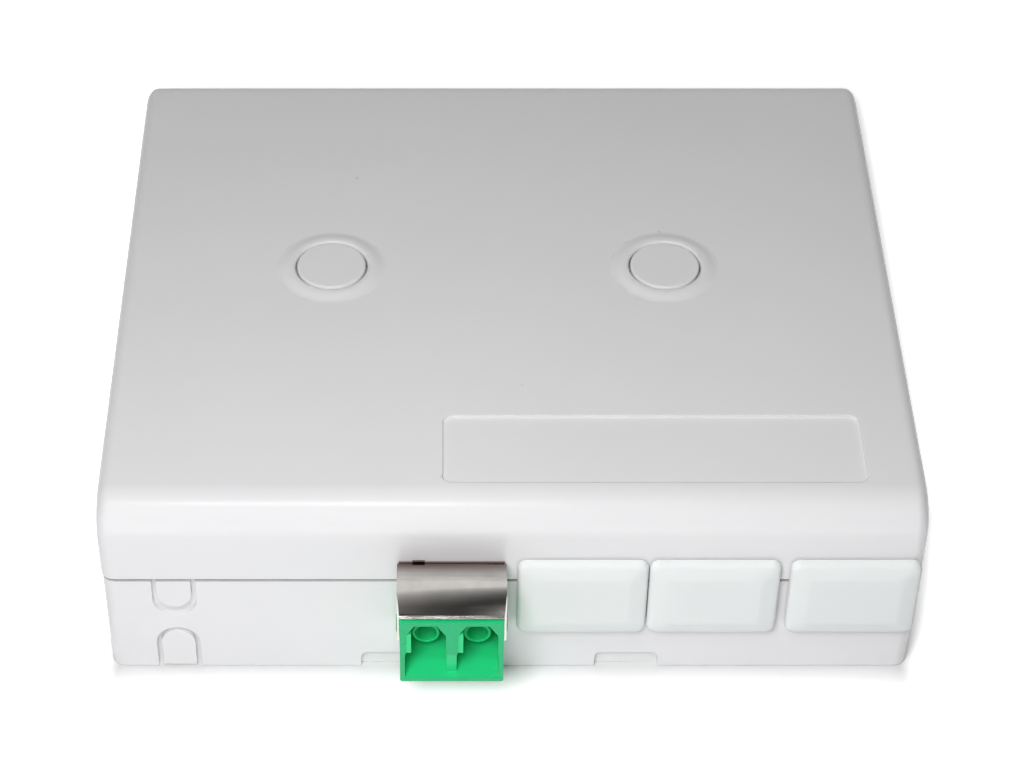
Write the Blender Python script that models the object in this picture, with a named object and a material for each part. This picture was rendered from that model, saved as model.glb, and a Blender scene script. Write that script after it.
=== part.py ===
"""Fibre termination box, a small wall outlet in white plastic, in metres with +Z up.

The box has a moulded base and cover held by two screws under round caps. Its front wall has
four windows: the first holds a duplex fibre adapter with a sheet steel shutter, and the other
three are closed by blank caps. Inside are the fibre tray, the splice comb and the cable clamp.
The origin is the centre of the base's underside, and the windows face -Y.
"""

import math

import bmesh
import bpy
from mathutils import Vector

# Case
CASE_WIDTH = 0.1005
CASE_DEPTH = 0.0850
CASE_HEIGHT = 0.0280
PARTING_HEIGHT = 0.0161
WALL = 0.0020
FLOOR = 0.0020
ROOF = 0.0020
CORNER_RADIUS = 0.0016
FRONT_EDGE_RADIUS = 0.0045
REAR_EDGE_RADIUS = 0.0022
BOTTOM_EDGE_RADIUS = 0.0002
INNER_RADIUS = 0.0006
SIDE_DRAFT = 0.0002
PARTING_STEP = 0.0002
SEAM = 0.0003
LIP_HEIGHT = 0.0014
LIP_WALL = 0.0008
FIT = 0.0003

# Windows in the front wall
WINDOW_COUNT = 4
WINDOW_PITCH = 0.01625
LAST_WINDOW_INSET = 0.0088
WINDOW_WIDTH = 0.0129
WINDOW_BOTTOM = 0.0080
WINDOW_TOP = 0.0194

# Guides behind the windows
GUIDE_WALL = 0.0010
GUIDE_BAR_REACH = 0.0010
GUIDE_BAR_WALL = 0.0012
GUIDE_HEIGHT = 0.0150
CRADLE_WALL = 0.0020
CRADLE_GAP = 0.0040

# Knock-outs and slots on the front wall
KNOCKOUT_INSET = 0.0089
KNOCKOUT_RADIUS = 0.0027
KNOCKOUT_BOTTOM = 0.0095
KNOCKOUT_SCOOP = 0.0015
FOOT_KNOCKOUT_INSET = 0.0089
FOOT_KNOCKOUT_TOP = 0.0072
FOOT_KNOCKOUT_LIFT = 0.0004
GROOVE_WIDTH = 0.0006
GROOVE_DEPTH = 0.0008
PRY_SLOT_X = 0.01465
PRY_SLOT_WIDTH = 0.0079
PRY_SLOT_HEIGHT = 0.0026
PRY_SLOT_DEPTH = 0.0007
PRY_SLOT_RADIUS = 0.0008

# Cover screws and their caps
POST_SPACING = 0.0436
POST_CENTRE_X = -0.0011
POST_Y = 0.0022
POST_RADIUS = 0.0036
CAP_HOLE_RADIUS = 0.0047
CAP_HOLE_DEPTH = 0.0015
SCREW_WELL_RADIUS = 0.0042
SCREW_SEAT_DROP = 0.0060
SCREW_SEAT_WALL = 0.0020
WELL_WALL = 0.0014
CAP_RISE = 0.0006
CAP_CLEARANCE = 0.0002
CAP_EDGE_BEVEL = 0.0003
CAP_SKIRT_DEPTH = 0.0026
CAP_SKIRT_WALL = 0.0010
MOUND_RADIUS = 0.0071
MOUND_CREST_WIDTH = 0.0006
MOUND_HEIGHT = 0.0004

# Label recess, left bare
LABEL_SIDE_INSET = 0.00735
LABEL_FRONT_INSET = 0.0050
LABEL_WIDTH = 0.0513
LABEL_DEPTH = 0.0117
LABEL_RADIUS = 0.0012
LABEL_RECESS = 0.0004

# Stiffening ribs under the cover
ROOF_RIB_SPACING = 0.0560
ROOF_RIB_LENGTH = 0.0560
ROOF_RIB_HEIGHT = 0.0018
ROOF_RIB_WALL = 0.0012

# Openings in the floor
WALL_SLOT_SIDE_INSET = 0.01825
WALL_SLOT_REAR_INSET = 0.0105
WALL_SLOT_RADIUS = 0.00225
WALL_SLOT_LENGTH = 0.0050
ENTRY_HOLE_SIDE_INSET = 0.02125
ENTRY_HOLE_FRONT_INSET = 0.0125
ENTRY_HOLE_RADIUS = 0.0050

# Duplex adapter
ADAPTER_WIDTH = 0.0125
ADAPTER_HEIGHT = 0.0105
ADAPTER_REACH = 0.00935
ADAPTER_REAR_LENGTH = 0.0130
ADAPTER_EDGE_BEVEL = 0.0002
FLANGE_WALL = 0.0016
FLANGE_RISE = 0.0012
PORT_PITCH = 0.00626
PORT_WIDTH = 0.00485
PORT_TOP_WIDTH = 0.00274
PORT_ROOF = 0.0006
PORT_FLOOR = 0.00075
PORT_CHAMFER = 0.0017
PORT_STEP_DROP = 0.00504
PORT_STEP_WIDTH = 0.0001
PORT_DEPTH = 0.0088
PORT_RIB_WIDTH = 0.00067
PORT_RIB_SETBACK = 0.0003
PORT_RIB_LENGTH = 0.0030
DIVIDER_SETBACK = 0.0010
FERRULE_DROP = 0.0062
TUBE_RADIUS = 0.00165
TUBE_LENGTH = 0.0048
SLEEVE_RADIUS = 0.0009
SLEEVE_BORE = 0.0006
SLEEVE_LENGTH = 0.0064
SLEEVE_SLIT = 0.0003
SLEEVE_CLEARANCE = 0.0001

# Steel shutter, standing open over the adapter
PIVOT_SETBACK = 0.00465
PIVOT_DROP = 0.00505
PIVOT_RADIUS = 0.0011
PIVOT_LENGTH = 0.0005
SHUTTER_RADIUS = 0.0073
SHUTTER_SHEET = 0.00025
SHUTTER_FRONT_ANGLE = math.radians(40.0)
SHUTTER_REAR_ANGLE = math.radians(37.0)
SHUTTER_SIDE_GAP = 0.0001
SHUTTER_HUB_RADIUS = 0.0022
SHUTTER_HUB_GAP = 0.0002
SHUTTER_TAB_OFFSET = -0.0040
SHUTTER_TAB_WIDTH = 0.0015
SHUTTER_TAB_HEIGHT = 0.0007
SHUTTER_EAR_TAPER = 40.0

# Blank caps
BLANK_SIDE_COVER = 0.0015
BLANK_TOP_COVER = 0.0005
BLANK_BOTTOM_COVER = 0.0003
BLANK_PROTRUSION = 0.0017
BLANK_SEAT_GAP = 0.0002
BLANK_RIM = 0.0005
BLANK_BORDER = 0.0022
BLANK_SHOULDER = (0.4, 0.65)
BLANK_CORNER = 0.0012
BLANK_SKIRT_PLAY = 0.0009
BLANK_SKIRT_GAP = 0.0005
BLANK_SKIRT_LENGTH = 0.0048
BLANK_SKIRT_WALL = 0.0012
BLANK_PLAY = (-0.0003, -0.0005, 0.0003)

# Fibre tray
TRAY_SIDE_GAP = 0.00825
TRAY_FRONT_GAP = 0.0245
TRAY_REAR_GAP = 0.0165
TRAY_UNDERSIDE = 0.0050
TRAY_FLOOR = 0.0015
TRAY_WALL = 0.0012
TRAY_RIM_HEIGHT = 0.0135
TRAY_CORNER = 0.0100
TRAY_PORT_WIDTH = 0.0120
TRAY_PORT_X = 0.0250
DRUM_RADIUS = 0.0120
DRUM_WALL = 0.0014
TAB_WIDTH = 0.0050
TAB_REACH = 0.0035
TAB_WALL = 0.0010
TRAY_SCREW_INSET = 0.0050
TRAY_SCREW_REAR_INSET = 0.0055
TRAY_BORE_FLOOR = 0.0005
REST_RIB_SPACING = 0.0400
REST_RIB_WALL = 0.0014
REST_RIB_LENGTH = 0.0056

# Splice comb
COMB_WIDTH = 0.0140
COMB_LENGTH = 0.0200
COMB_HEIGHT = 0.0050
COMB_GROOVES = 4
COMB_GROOVE_PITCH = 0.0032
COMB_GROOVE_RADIUS = 0.0013

# Cable clamp
CLAMP_FRONT_INSET = 0.0125
CLAMP_LENGTH = 0.0070
CLAMP_SCREW_SPACING = 0.0092
CLAMP_POST_RADIUS = 0.0027
CLAMP_HEIGHT = 0.0150
CLAMP_WALL = 0.0022
CLAMP_END = 0.0022
CLAMP_ARCH_RATIO = 0.5

# Screws, of one pattern in two sizes
COVER_SCREW_RADIUS = 0.0015
COVER_SCREW_LENGTH = 0.0140
SMALL_SCREW_RADIUS = 0.0010
SMALL_SCREW_LENGTH = 0.0070
HEAD_RATIO = 1.85
HEAD_HEIGHT_RATIO = 1.20
HEAD_DOME = ((0.0, 1.0), (0.55, 0.94), (0.88, 0.65), (1.0, 0.2), (1.0, 0.0))
RECESS_RATIO = 0.30
RECESS_REACH_RATIO = 0.62
RECESS_FLOOR_RATIO = 0.45
TIP_RATIO = 0.4
SCREW_CLEARANCE = 0.0002
SEAT_GAP = 0.0001

# Facets
ARC_STEPS = 6
ROUND_STEPS = 32
FINE_STEPS = 20
CORNER_STEPS = 3
OVERRUN = 0.0010
SINK = 0.0002

FRONT = -CASE_DEPTH / 2
REAR = CASE_DEPTH / 2
RIGHT = CASE_WIDTH / 2
LEFT = -CASE_WIDTH / 2
INNER_FRONT = FRONT + WALL
BASE_TOP = PARTING_HEIGHT - SEAM / 2
COVER_BOTTOM = PARTING_HEIGHT + SEAM / 2
SCREW_SEAT_HEIGHT = CASE_HEIGHT - SCREW_SEAT_DROP
KNOCKOUT_X = LEFT + KNOCKOUT_INSET
FOOT_KNOCKOUT_X = LEFT + FOOT_KNOCKOUT_INSET
CLAMP_Y = FRONT + CLAMP_FRONT_INSET
TRAY_WIDTH = CASE_WIDTH - 2 * WALL - 2 * TRAY_SIDE_GAP
TRAY_FRONT_Y = INNER_FRONT + TRAY_FRONT_GAP
TRAY_REAR_Y = REAR - WALL - TRAY_REAR_GAP


def clear_scene():
    for obj in list(bpy.data.objects):
        bpy.data.objects.remove(obj, do_unlink=True)


def material(name, colour, roughness, metallic=0.0):
    found = bpy.data.materials.get(name)
    if found:
        return found
    made = bpy.data.materials.new(name)
    made.use_nodes = True
    shader = made.node_tree.nodes["Principled BSDF"]
    shader.inputs["Base Color"].default_value = (*colour, 1.0)
    shader.inputs["Roughness"].default_value = roughness
    shader.inputs["Metallic"].default_value = metallic
    return made


def white_plastic():
    return material("white_abs", (0.80, 0.79, 0.77), 0.42)


def cap_plastic():
    return material("cap_abs", (0.78, 0.81, 0.79), 0.38)


def green_plastic():
    return material("green_pbt", (0.02, 0.58, 0.25), 0.35)


def tray_plastic():
    return material("tray_abs", (0.72, 0.73, 0.73), 0.45)


def spring_steel():
    return material("shutter_steel", (0.56, 0.54, 0.51), 0.32, 1.0)


def screw_steel():
    return material("zinc_steel", (0.62, 0.62, 0.60), 0.35, 1.0)


def new_object(name, mesh_data):
    mesh = bpy.data.meshes.new(name)
    mesh_data.to_mesh(mesh)
    mesh_data.free()
    obj = bpy.data.objects.new(name, mesh)
    bpy.context.scene.collection.objects.link(obj)
    return obj


def finish(obj, surface):
    """Gives a sub-part its material and smooth shading with sharp edges kept."""
    obj.data.materials.append(surface)
    obj.data.shade_smooth()
    obj.data.set_sharp_from_angle(angle=math.radians(35.0))
    return obj


def hide_helper(obj):
    obj.hide_render = True
    obj.display_type = "WIRE"


def add_boolean(target, helper, operation):
    """Joins or cuts with a closed helper. The exact solver leaves open edges round these small bores."""
    hide_helper(helper)
    step = target.modifiers.new(helper.name, "BOOLEAN")
    step.operation = operation
    step.solver = "MANIFOLD"
    step.object = helper


def cut(target, *cutters):
    for cutter in cutters:
        add_boolean(target, cutter, "DIFFERENCE")


def join(target, *pieces):
    for piece in pieces:
        add_boolean(target, piece, "UNION")


def block(name, low, high):
    """A box from its lowest to its highest corner."""
    low = Vector(low)
    high = Vector(high)
    shape = bmesh.new()
    bmesh.ops.create_cube(shape, size=1.0)
    for vertex in shape.verts:
        vertex.co = (low + high) / 2 + vertex.co * (high - low)
    return new_object(name, shape)


def place(axis, across, along, level):
    """A point of an outline drawn at right angles to an axis."""
    if axis == "X":
        return Vector((level, across, along))
    if axis == "Y":
        return Vector((across, level, along))
    return Vector((across, along, level))


def prism_mesh(outline, axis, start, end):
    shape = bmesh.new()
    corners = [shape.verts.new(place(axis, u, v, start)) for u, v in outline]
    face = shape.faces.new(corners)
    grown = bmesh.ops.extrude_face_region(shape, geom=[face])
    moved = [item for item in grown["geom"] if isinstance(item, bmesh.types.BMVert)]
    bmesh.ops.translate(shape, verts=moved, vec=place(axis, 0.0, 0.0, end - start))
    bmesh.ops.recalc_face_normals(shape, faces=shape.faces)
    return shape


def prism(name, outline, axis, start, end):
    """An outline carried along an axis. It is (x, y) for Z, (x, z) for Y and (y, z) for X."""
    return new_object(name, prism_mesh(outline, axis, start, end))


def arc(centre, radius, start, end, steps=ARC_STEPS):
    """Points along an arc, with its angles in degrees from the first axis of the outline."""
    points = []
    for step in range(steps + 1):
        angle = math.radians(start + (end - start) * step / steps)
        points.append((centre[0] + radius * math.cos(angle), centre[1] + radius * math.sin(angle)))
    return points


def rounded_rectangle(low, high, radius, steps=CORNER_STEPS):
    left, bottom = low[0] + radius, low[1] + radius
    right, top = high[0] - radius, high[1] - radius
    return (
        arc((right, bottom), radius, -90, 0, steps)
        + arc((right, top), radius, 0, 90, steps)
        + arc((left, top), radius, 90, 180, steps)
        + arc((left, bottom), radius, 180, 270, steps)
    )


def oblong(centre, radius, length):
    """A slot outline along the first axis, with its length between the end centres."""
    right = (centre[0] + length / 2, centre[1])
    left = (centre[0] - length / 2, centre[1])
    return arc(right, radius, -90, 90, ARC_STEPS) + arc(left, radius, 90, 270, ARC_STEPS)


def turned(name, profile, centre, steps=ROUND_STEPS):
    """A profile of (radius, height) points turned round an upright axis through a centre."""
    shape = bmesh.new()
    points = [shape.verts.new((radius, 0.0, height)) for radius, height in profile]
    edges = [shape.edges.new(pair) for pair in zip(points, points[1:])]
    bmesh.ops.spin(
        shape,
        geom=points + edges,
        cent=(0.0, 0.0, 0.0),
        axis=(0.0, 0.0, 1.0),
        angle=math.tau,
        steps=steps,
        use_merge=True,
    )
    bmesh.ops.remove_doubles(shape, verts=shape.verts, dist=1e-6)
    bmesh.ops.recalc_face_normals(shape, faces=shape.faces)
    bmesh.ops.translate(shape, verts=shape.verts, vec=centre)
    return new_object(name, shape)


def cylinder(name, centre, radius, low, high, steps=ROUND_STEPS):
    """An upright cylinder at an (x, y) centre."""
    profile = [(0.0, high), (radius, high), (radius, low), (0.0, low)]
    return turned(name, profile, (centre[0], centre[1], 0.0), steps)


def level_cylinder(name, axis, centre, radius, start, end, steps=FINE_STEPS):
    """A cylinder along X or Y, its centre given in the plane at right angles to that axis."""
    outline = arc(centre, radius, 0, 360 - 360 / steps, steps - 1)
    return prism(name, outline, axis, start, end)


def window_x(index):
    return RIGHT - LAST_WINDOW_INSET - (WINDOW_COUNT - 1 - index) * WINDOW_PITCH


def post_centres():
    return {
        "left": (POST_CENTRE_X - POST_SPACING / 2, POST_Y),
        "right": (POST_CENTRE_X + POST_SPACING / 2, POST_Y),
    }


def tray_screw_centres():
    reach = TRAY_WIDTH / 2 - TRAY_SCREW_INSET
    level = TRAY_REAR_Y - TRAY_SCREW_REAR_INSET
    return {"left": (POST_CENTRE_X - reach, level), "right": (POST_CENTRE_X + reach, level)}


def clamp_screw_centres():
    return {
        "left": (KNOCKOUT_X - CLAMP_SCREW_SPACING / 2, CLAMP_Y),
        "right": (KNOCKOUT_X + CLAMP_SCREW_SPACING / 2, CLAMP_Y),
    }


def window_cutter(owner, index):
    """The window through the front wall, cut from the base and from the cover alike."""
    centre = window_x(index)
    return block(
        f"{owner}_window_{index}",
        (centre - WINDOW_WIDTH / 2, FRONT - OVERRUN, WINDOW_BOTTOM),
        (centre + WINDOW_WIDTH / 2, INNER_FRONT + OVERRUN, WINDOW_TOP),
    )


def knockout_outline(radius, bottom):
    """A U that is open at the parting line."""
    top = PARTING_HEIGHT + LIP_HEIGHT + OVERRUN
    curve = arc((KNOCKOUT_X, bottom + radius), radius, 180, 360, 2 * ARC_STEPS)
    return curve + [(KNOCKOUT_X + radius, top), (KNOCKOUT_X - radius, top)]


def foot_knockout_outline(radius, low):
    """An upturned U between the underside and the foot knock-out's top."""
    centre = (FOOT_KNOCKOUT_X, FOOT_KNOCKOUT_TOP - KNOCKOUT_RADIUS)
    curve = arc(centre, radius, 0, 180, 2 * ARC_STEPS)
    return curve + [(FOOT_KNOCKOUT_X - radius, low), (FOOT_KNOCKOUT_X + radius, low)]


def knockout_groove(name, outer, panel):
    """The groove left between a knock-out's outline and its panel."""
    groove = front_recess(name, outer, GROOVE_DEPTH)
    face = FRONT + PARTING_STEP
    cut(groove, prism(f"{name}_panel", panel, "Y", face - 2 * OVERRUN, face + GROOVE_DEPTH + OVERRUN))
    return groove


def knockout_grooves():
    inner = KNOCKOUT_RADIUS - GROOVE_WIDTH
    cable = knockout_groove(
        "knockout",
        knockout_outline(KNOCKOUT_RADIUS, KNOCKOUT_BOTTOM),
        knockout_outline(inner, KNOCKOUT_BOTTOM + KNOCKOUT_SCOOP),
    )
    foot = knockout_groove(
        "foot_knockout",
        foot_knockout_outline(KNOCKOUT_RADIUS, -OVERRUN),
        foot_knockout_outline(inner, FOOT_KNOCKOUT_LIFT),
    )
    return cable, foot


def front_recess(name, outline, depth):
    """A recess cut from outside into the base's front face."""
    face = FRONT + PARTING_STEP
    return prism(name, outline, "Y", face - OVERRUN, face + depth)


def pry_slot(side):
    centre = side * PRY_SLOT_X
    half = PRY_SLOT_WIDTH / 2
    low = (centre - half, -PRY_SLOT_HEIGHT)
    high = (centre + half, PRY_SLOT_HEIGHT)
    return front_recess(
        f"pry_slot_{side}", rounded_rectangle(low, high, PRY_SLOT_RADIUS), PRY_SLOT_DEPTH
    )


def base_body():
    """The base's outer form, drawn in at the parting line."""
    half_width = CASE_WIDTH / 2 - PARTING_STEP
    half_depth = CASE_DEPTH / 2 - PARTING_STEP
    outline = rounded_rectangle((-half_width, -half_depth), (half_width, half_depth), CORNER_RADIUS)
    shape = prism_mesh(outline, "Z", 0.0, BASE_TOP)
    rim = [edge for edge in shape.edges if all(vertex.co.z < BOTTOM_EDGE_RADIUS for vertex in edge.verts)]
    bmesh.ops.bevel(shape, geom=rim, offset=BOTTOM_EDGE_RADIUS, segments=2, profile=0.5, affect="EDGES")
    return new_object("base", shape)


def lip_outline(inset):
    half_width = CASE_WIDTH / 2 - WALL + inset
    half_depth = CASE_DEPTH / 2 - WALL + inset
    return rounded_rectangle((-half_width, -half_depth), (half_width, half_depth), INNER_RADIUS + inset)


def inner_outline():
    return lip_outline(0.0)


def base_guides():
    """T-shaped guides that hold an adapter's flange behind each window."""
    pieces = []
    flange_rear = INNER_FRONT + 2 * FLANGE_WALL + 3 * FIT
    for index in range(WINDOW_COUNT):
        edge = window_x(index) - WINDOW_PITCH / 2
        pieces.append(
            block(
                f"guide_{index}",
                (edge - GUIDE_WALL / 2, INNER_FRONT - SINK, FLOOR - SINK),
                (edge + GUIDE_WALL / 2, flange_rear + GUIDE_BAR_WALL - SINK, GUIDE_HEIGHT),
            )
        )
        reach = GUIDE_WALL / 2 + GUIDE_BAR_REACH
        pieces.append(
            block(
                f"guide_bar_{index}",
                (edge - reach, flange_rear, FLOOR - SINK),
                (edge + reach, flange_rear + GUIDE_BAR_WALL, GUIDE_HEIGHT - SINK),
            )
        )
        cradle_top = WINDOW_BOTTOM + adapter_gap() - FLANGE_RISE - FIT
        pieces.append(
            block(
                f"cradle_{index}",
                (edge + GUIDE_WALL / 2 - SINK, INNER_FRONT + FIT, FLOOR - SINK),
                (edge + WINDOW_PITCH - CRADLE_GAP, INNER_FRONT + FIT + CRADLE_WALL, cradle_top),
            )
        )
    return pieces


def base_posts():
    """Posts for the cover screws, the tray screws and the clamp screws."""
    pieces = []
    cutters = []
    for side, centre in post_centres().items():
        top = SCREW_SEAT_HEIGHT - SCREW_SEAT_WALL - FIT
        pieces.append(cylinder(f"post_{side}", centre, POST_RADIUS, FLOOR - SINK, top, FINE_STEPS))
        cutters.append(screw_bore(f"post_bore_{side}", centre, COVER_SCREW_RADIUS, FLOOR, top))
    for side, centre in tray_screw_centres().items():
        top = TRAY_UNDERSIDE - FIT
        radius = SMALL_SCREW_RADIUS + SCREW_CLEARANCE + TRAY_WALL
        pieces.append(cylinder(f"tray_post_{side}", centre, radius, SINK, top, FINE_STEPS))
        cutters.append(screw_bore(f"tray_bore_{side}", centre, SMALL_SCREW_RADIUS, TRAY_BORE_FLOOR, top))
    for side, centre in clamp_screw_centres().items():
        top = CLAMP_HEIGHT - FIT
        pieces.append(cylinder(f"clamp_post_{side}", centre, CLAMP_POST_RADIUS, FLOOR - SINK, top, FINE_STEPS))
        cutters.append(screw_bore(f"clamp_bore_{side}", centre, SMALL_SCREW_RADIUS, FLOOR, top))
    return pieces, cutters


def screw_bore(name, centre, screw_radius, low, high):
    return cylinder(name, centre, screw_radius + SCREW_CLEARANCE, low, high + OVERRUN, FINE_STEPS)


def base_ribs():
    """The saddle under the cable and the two ribs that the tray rests on."""
    half = CLAMP_SCREW_SPACING / 2
    saddle = block(
        "cable_saddle",
        (KNOCKOUT_X - half, CLAMP_Y - CLAMP_LENGTH / 2, FLOOR - SINK),
        (KNOCKOUT_X + half, CLAMP_Y + CLAMP_LENGTH / 2, KNOCKOUT_BOTTOM + KNOCKOUT_RADIUS * CLAMP_ARCH_RATIO),
    )
    pieces = [saddle]
    for side in (-1, 1):
        centre = POST_CENTRE_X + side * REST_RIB_SPACING / 2
        pieces.append(
            block(
                f"rest_rib_{side}",
                (centre - REST_RIB_WALL / 2, TRAY_FRONT_Y, FLOOR - SINK),
                (centre + REST_RIB_WALL / 2, TRAY_FRONT_Y + REST_RIB_LENGTH, TRAY_UNDERSIDE - FIT),
            )
        )
    return pieces


def saddle_groove():
    centre = (KNOCKOUT_X, KNOCKOUT_BOTTOM + KNOCKOUT_RADIUS)
    reach = CLAMP_LENGTH / 2 + OVERRUN
    return level_cylinder("saddle_groove", "Y", centre, KNOCKOUT_RADIUS, CLAMP_Y - reach, CLAMP_Y + reach)


def floor_openings():
    entry = (LEFT + ENTRY_HOLE_SIDE_INSET, FRONT + ENTRY_HOLE_FRONT_INSET)
    cutters = [cylinder("entry_hole", entry, ENTRY_HOLE_RADIUS, -OVERRUN, FLOOR + OVERRUN)]
    for side in (-1, 1):
        centre = (side * (RIGHT - WALL_SLOT_SIDE_INSET), REAR - WALL_SLOT_REAR_INSET)
        outline = oblong(centre, WALL_SLOT_RADIUS, WALL_SLOT_LENGTH)
        cutters.append(prism(f"wall_slot_{side}", outline, "Z", -OVERRUN, FLOOR + OVERRUN))
    return cutters


def make_base():
    base = base_body()
    cut(base, prism("base_cavity", inner_outline(), "Z", FLOOR, PARTING_HEIGHT + OVERRUN))
    lip = prism("base_lip", lip_outline(LIP_WALL), "Z", BASE_TOP - SINK, BASE_TOP + LIP_HEIGHT)
    cut(lip, prism("base_lip_inside", inner_outline(), "Z", FLOOR, PARTING_HEIGHT + 2 * LIP_HEIGHT))
    join(base, lip)
    posts, bores = base_posts()
    join(base, *base_guides(), *posts, *base_ribs())
    cut(base, *bores, saddle_groove(), *floor_openings())
    cut(base, *(window_cutter("base", index) for index in range(WINDOW_COUNT)))
    cut(base, *knockout_grooves(), pry_slot(-1), pry_slot(1))
    return finish(base, white_plastic())


def cover_profile(inset, bottom, front_radius, rear_radius):
    """The cover's section from front to rear, as (y, z) points, moved in by an inset."""
    half = CASE_DEPTH / 2 - inset
    top = CASE_HEIGHT - inset
    front = arc((-half + front_radius, top - front_radius), front_radius, 180, 90, 2 * ARC_STEPS)
    rear = arc((half - rear_radius, top - rear_radius), rear_radius, 90, 0, ARC_STEPS)
    return [(-half, bottom)] + front + rear + [(half, bottom)]


def cover_body():
    half = CASE_WIDTH / 2
    profile = cover_profile(0.0, COVER_BOTTOM, FRONT_EDGE_RADIUS, REAR_EDGE_RADIUS)
    shape = prism_mesh(profile, "X", -half, half)
    ends = []
    for edge in shape.edges:
        first, second = edge.verts
        at_one_end = abs(first.co.x - second.co.x) < CORNER_RADIUS
        at_bottom = max(first.co.z, second.co.z) < COVER_BOTTOM + SINK
        if at_one_end and not at_bottom:
            ends.append(edge)
    bmesh.ops.bevel(
        shape, geom=ends, offset=CORNER_RADIUS, segments=CORNER_STEPS, profile=0.5, affect="EDGES"
    )
    rise = CASE_HEIGHT - COVER_BOTTOM
    for vertex in shape.verts:
        drawn_in = SIDE_DRAFT * (vertex.co.z - COVER_BOTTOM) / rise
        vertex.co.x -= math.copysign(drawn_in, vertex.co.x)
    return new_object("cover", shape)


def cover_cavity():
    inner_front = max(FRONT_EDGE_RADIUS - WALL, INNER_RADIUS)
    profile = cover_profile(WALL, COVER_BOTTOM - OVERRUN, inner_front, INNER_RADIUS)
    roof_shift = WALL - ROOF
    raised = [(y, z + roof_shift if z > COVER_BOTTOM else z) for y, z in profile]
    half = CASE_WIDTH / 2 - WALL
    return prism("cover_cavity", raised, "X", -half, half)


def screw_well(side, centre):
    """The tube that hangs from the roof and carries a cover screw."""
    low = SCREW_SEAT_HEIGHT - SCREW_SEAT_WALL
    radius = SCREW_WELL_RADIUS + WELL_WALL
    return cylinder(f"well_{side}", centre, radius, low, CASE_HEIGHT - ROOF / 2)


def mound(side, centre):
    """The low ring that rises round a screw cap."""
    crest = CAP_HOLE_RADIUS + MOUND_CREST_WIDTH
    top = CASE_HEIGHT + MOUND_HEIGHT
    low = CASE_HEIGHT - ROOF / 2
    foot = MOUND_RADIUS + (MOUND_RADIUS - crest) * SINK / MOUND_HEIGHT
    profile = [(0.0, top), (crest, top), (foot, CASE_HEIGHT - SINK), (foot, low), (0.0, low)]
    return turned(f"mound_{side}", profile, (*centre, 0.0))


def well_cutters(side, centre):
    """The seat for the cap, the well below it and the hole for the screw."""
    top = CASE_HEIGHT + MOUND_HEIGHT
    ledge = top - CAP_HOLE_DEPTH
    screw_hole = COVER_SCREW_RADIUS + SCREW_CLEARANCE
    low = SCREW_SEAT_HEIGHT - SCREW_SEAT_WALL - OVERRUN
    profile = [
        (0.0, top + OVERRUN),
        (CAP_HOLE_RADIUS, top + OVERRUN),
        (CAP_HOLE_RADIUS, ledge),
        (SCREW_WELL_RADIUS, ledge),
        (SCREW_WELL_RADIUS, SCREW_SEAT_HEIGHT),
        (screw_hole, SCREW_SEAT_HEIGHT),
        (screw_hole, low),
        (0.0, low),
    ]
    return turned(f"well_bore_{side}", profile, (*centre, 0.0))


def label_recess():
    low = (RIGHT - LABEL_SIDE_INSET - LABEL_WIDTH, FRONT + LABEL_FRONT_INSET)
    high = (RIGHT - LABEL_SIDE_INSET, FRONT + LABEL_FRONT_INSET + LABEL_DEPTH)
    outline = rounded_rectangle(low, high, LABEL_RADIUS)
    return prism("label_recess", outline, "Z", CASE_HEIGHT - LABEL_RECESS, CASE_HEIGHT + OVERRUN)


def roof_ribs():
    inside = CASE_HEIGHT - ROOF
    ribs = []
    for side in (-1, 1):
        centre = POST_CENTRE_X + side * ROOF_RIB_SPACING / 2
        ribs.append(
            block(
                f"roof_rib_{side}",
                (centre - ROOF_RIB_WALL / 2, -ROOF_RIB_LENGTH / 2, inside - ROOF_RIB_HEIGHT),
                (centre + ROOF_RIB_WALL / 2, ROOF_RIB_LENGTH / 2, inside + SINK),
            )
        )
    return ribs


def make_cover():
    cover = cover_body()
    cut(cover, cover_cavity())
    rabbet = lip_outline(LIP_WALL + FIT)
    cut(cover, prism("cover_rabbet", rabbet, "Z", COVER_BOTTOM - OVERRUN, BASE_TOP + LIP_HEIGHT + FIT))
    join(cover, *roof_ribs())
    for side, centre in post_centres().items():
        join(cover, screw_well(side, centre), mound(side, centre))
        cut(cover, well_cutters(side, centre))
    cut(cover, label_recess())
    cut(cover, *(window_cutter("cover", index) for index in range(WINDOW_COUNT)))
    return finish(cover, white_plastic())


def make_screw_cap(side, centre):
    """A round plug that hides a cover screw. Its origin is on the axis it lifts along."""
    top = CASE_HEIGHT + CAP_RISE
    ledge = CASE_HEIGHT + MOUND_HEIGHT - CAP_HOLE_DEPTH
    disc_low = ledge + SEAT_GAP
    radius = CAP_HOLE_RADIUS - CAP_CLEARANCE
    skirt = SCREW_WELL_RADIUS - CAP_CLEARANCE
    skirt_low = disc_low - CAP_SKIRT_DEPTH
    inside = skirt - CAP_SKIRT_WALL
    profile = [
        (0.0, top),
        (radius - CAP_EDGE_BEVEL, top),
        (radius, top - CAP_EDGE_BEVEL),
        (radius, disc_low),
        (skirt, disc_low),
        (skirt, skirt_low),
        (inside, skirt_low),
        (inside, disc_low),
        (0.0, disc_low),
    ]
    cap = turned(f"screw_cap_{side}", [(r, z - disc_low) for r, z in profile], (0.0, 0.0, 0.0))
    cap.location = (*centre, disc_low)
    return finish(cap, white_plastic())


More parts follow.
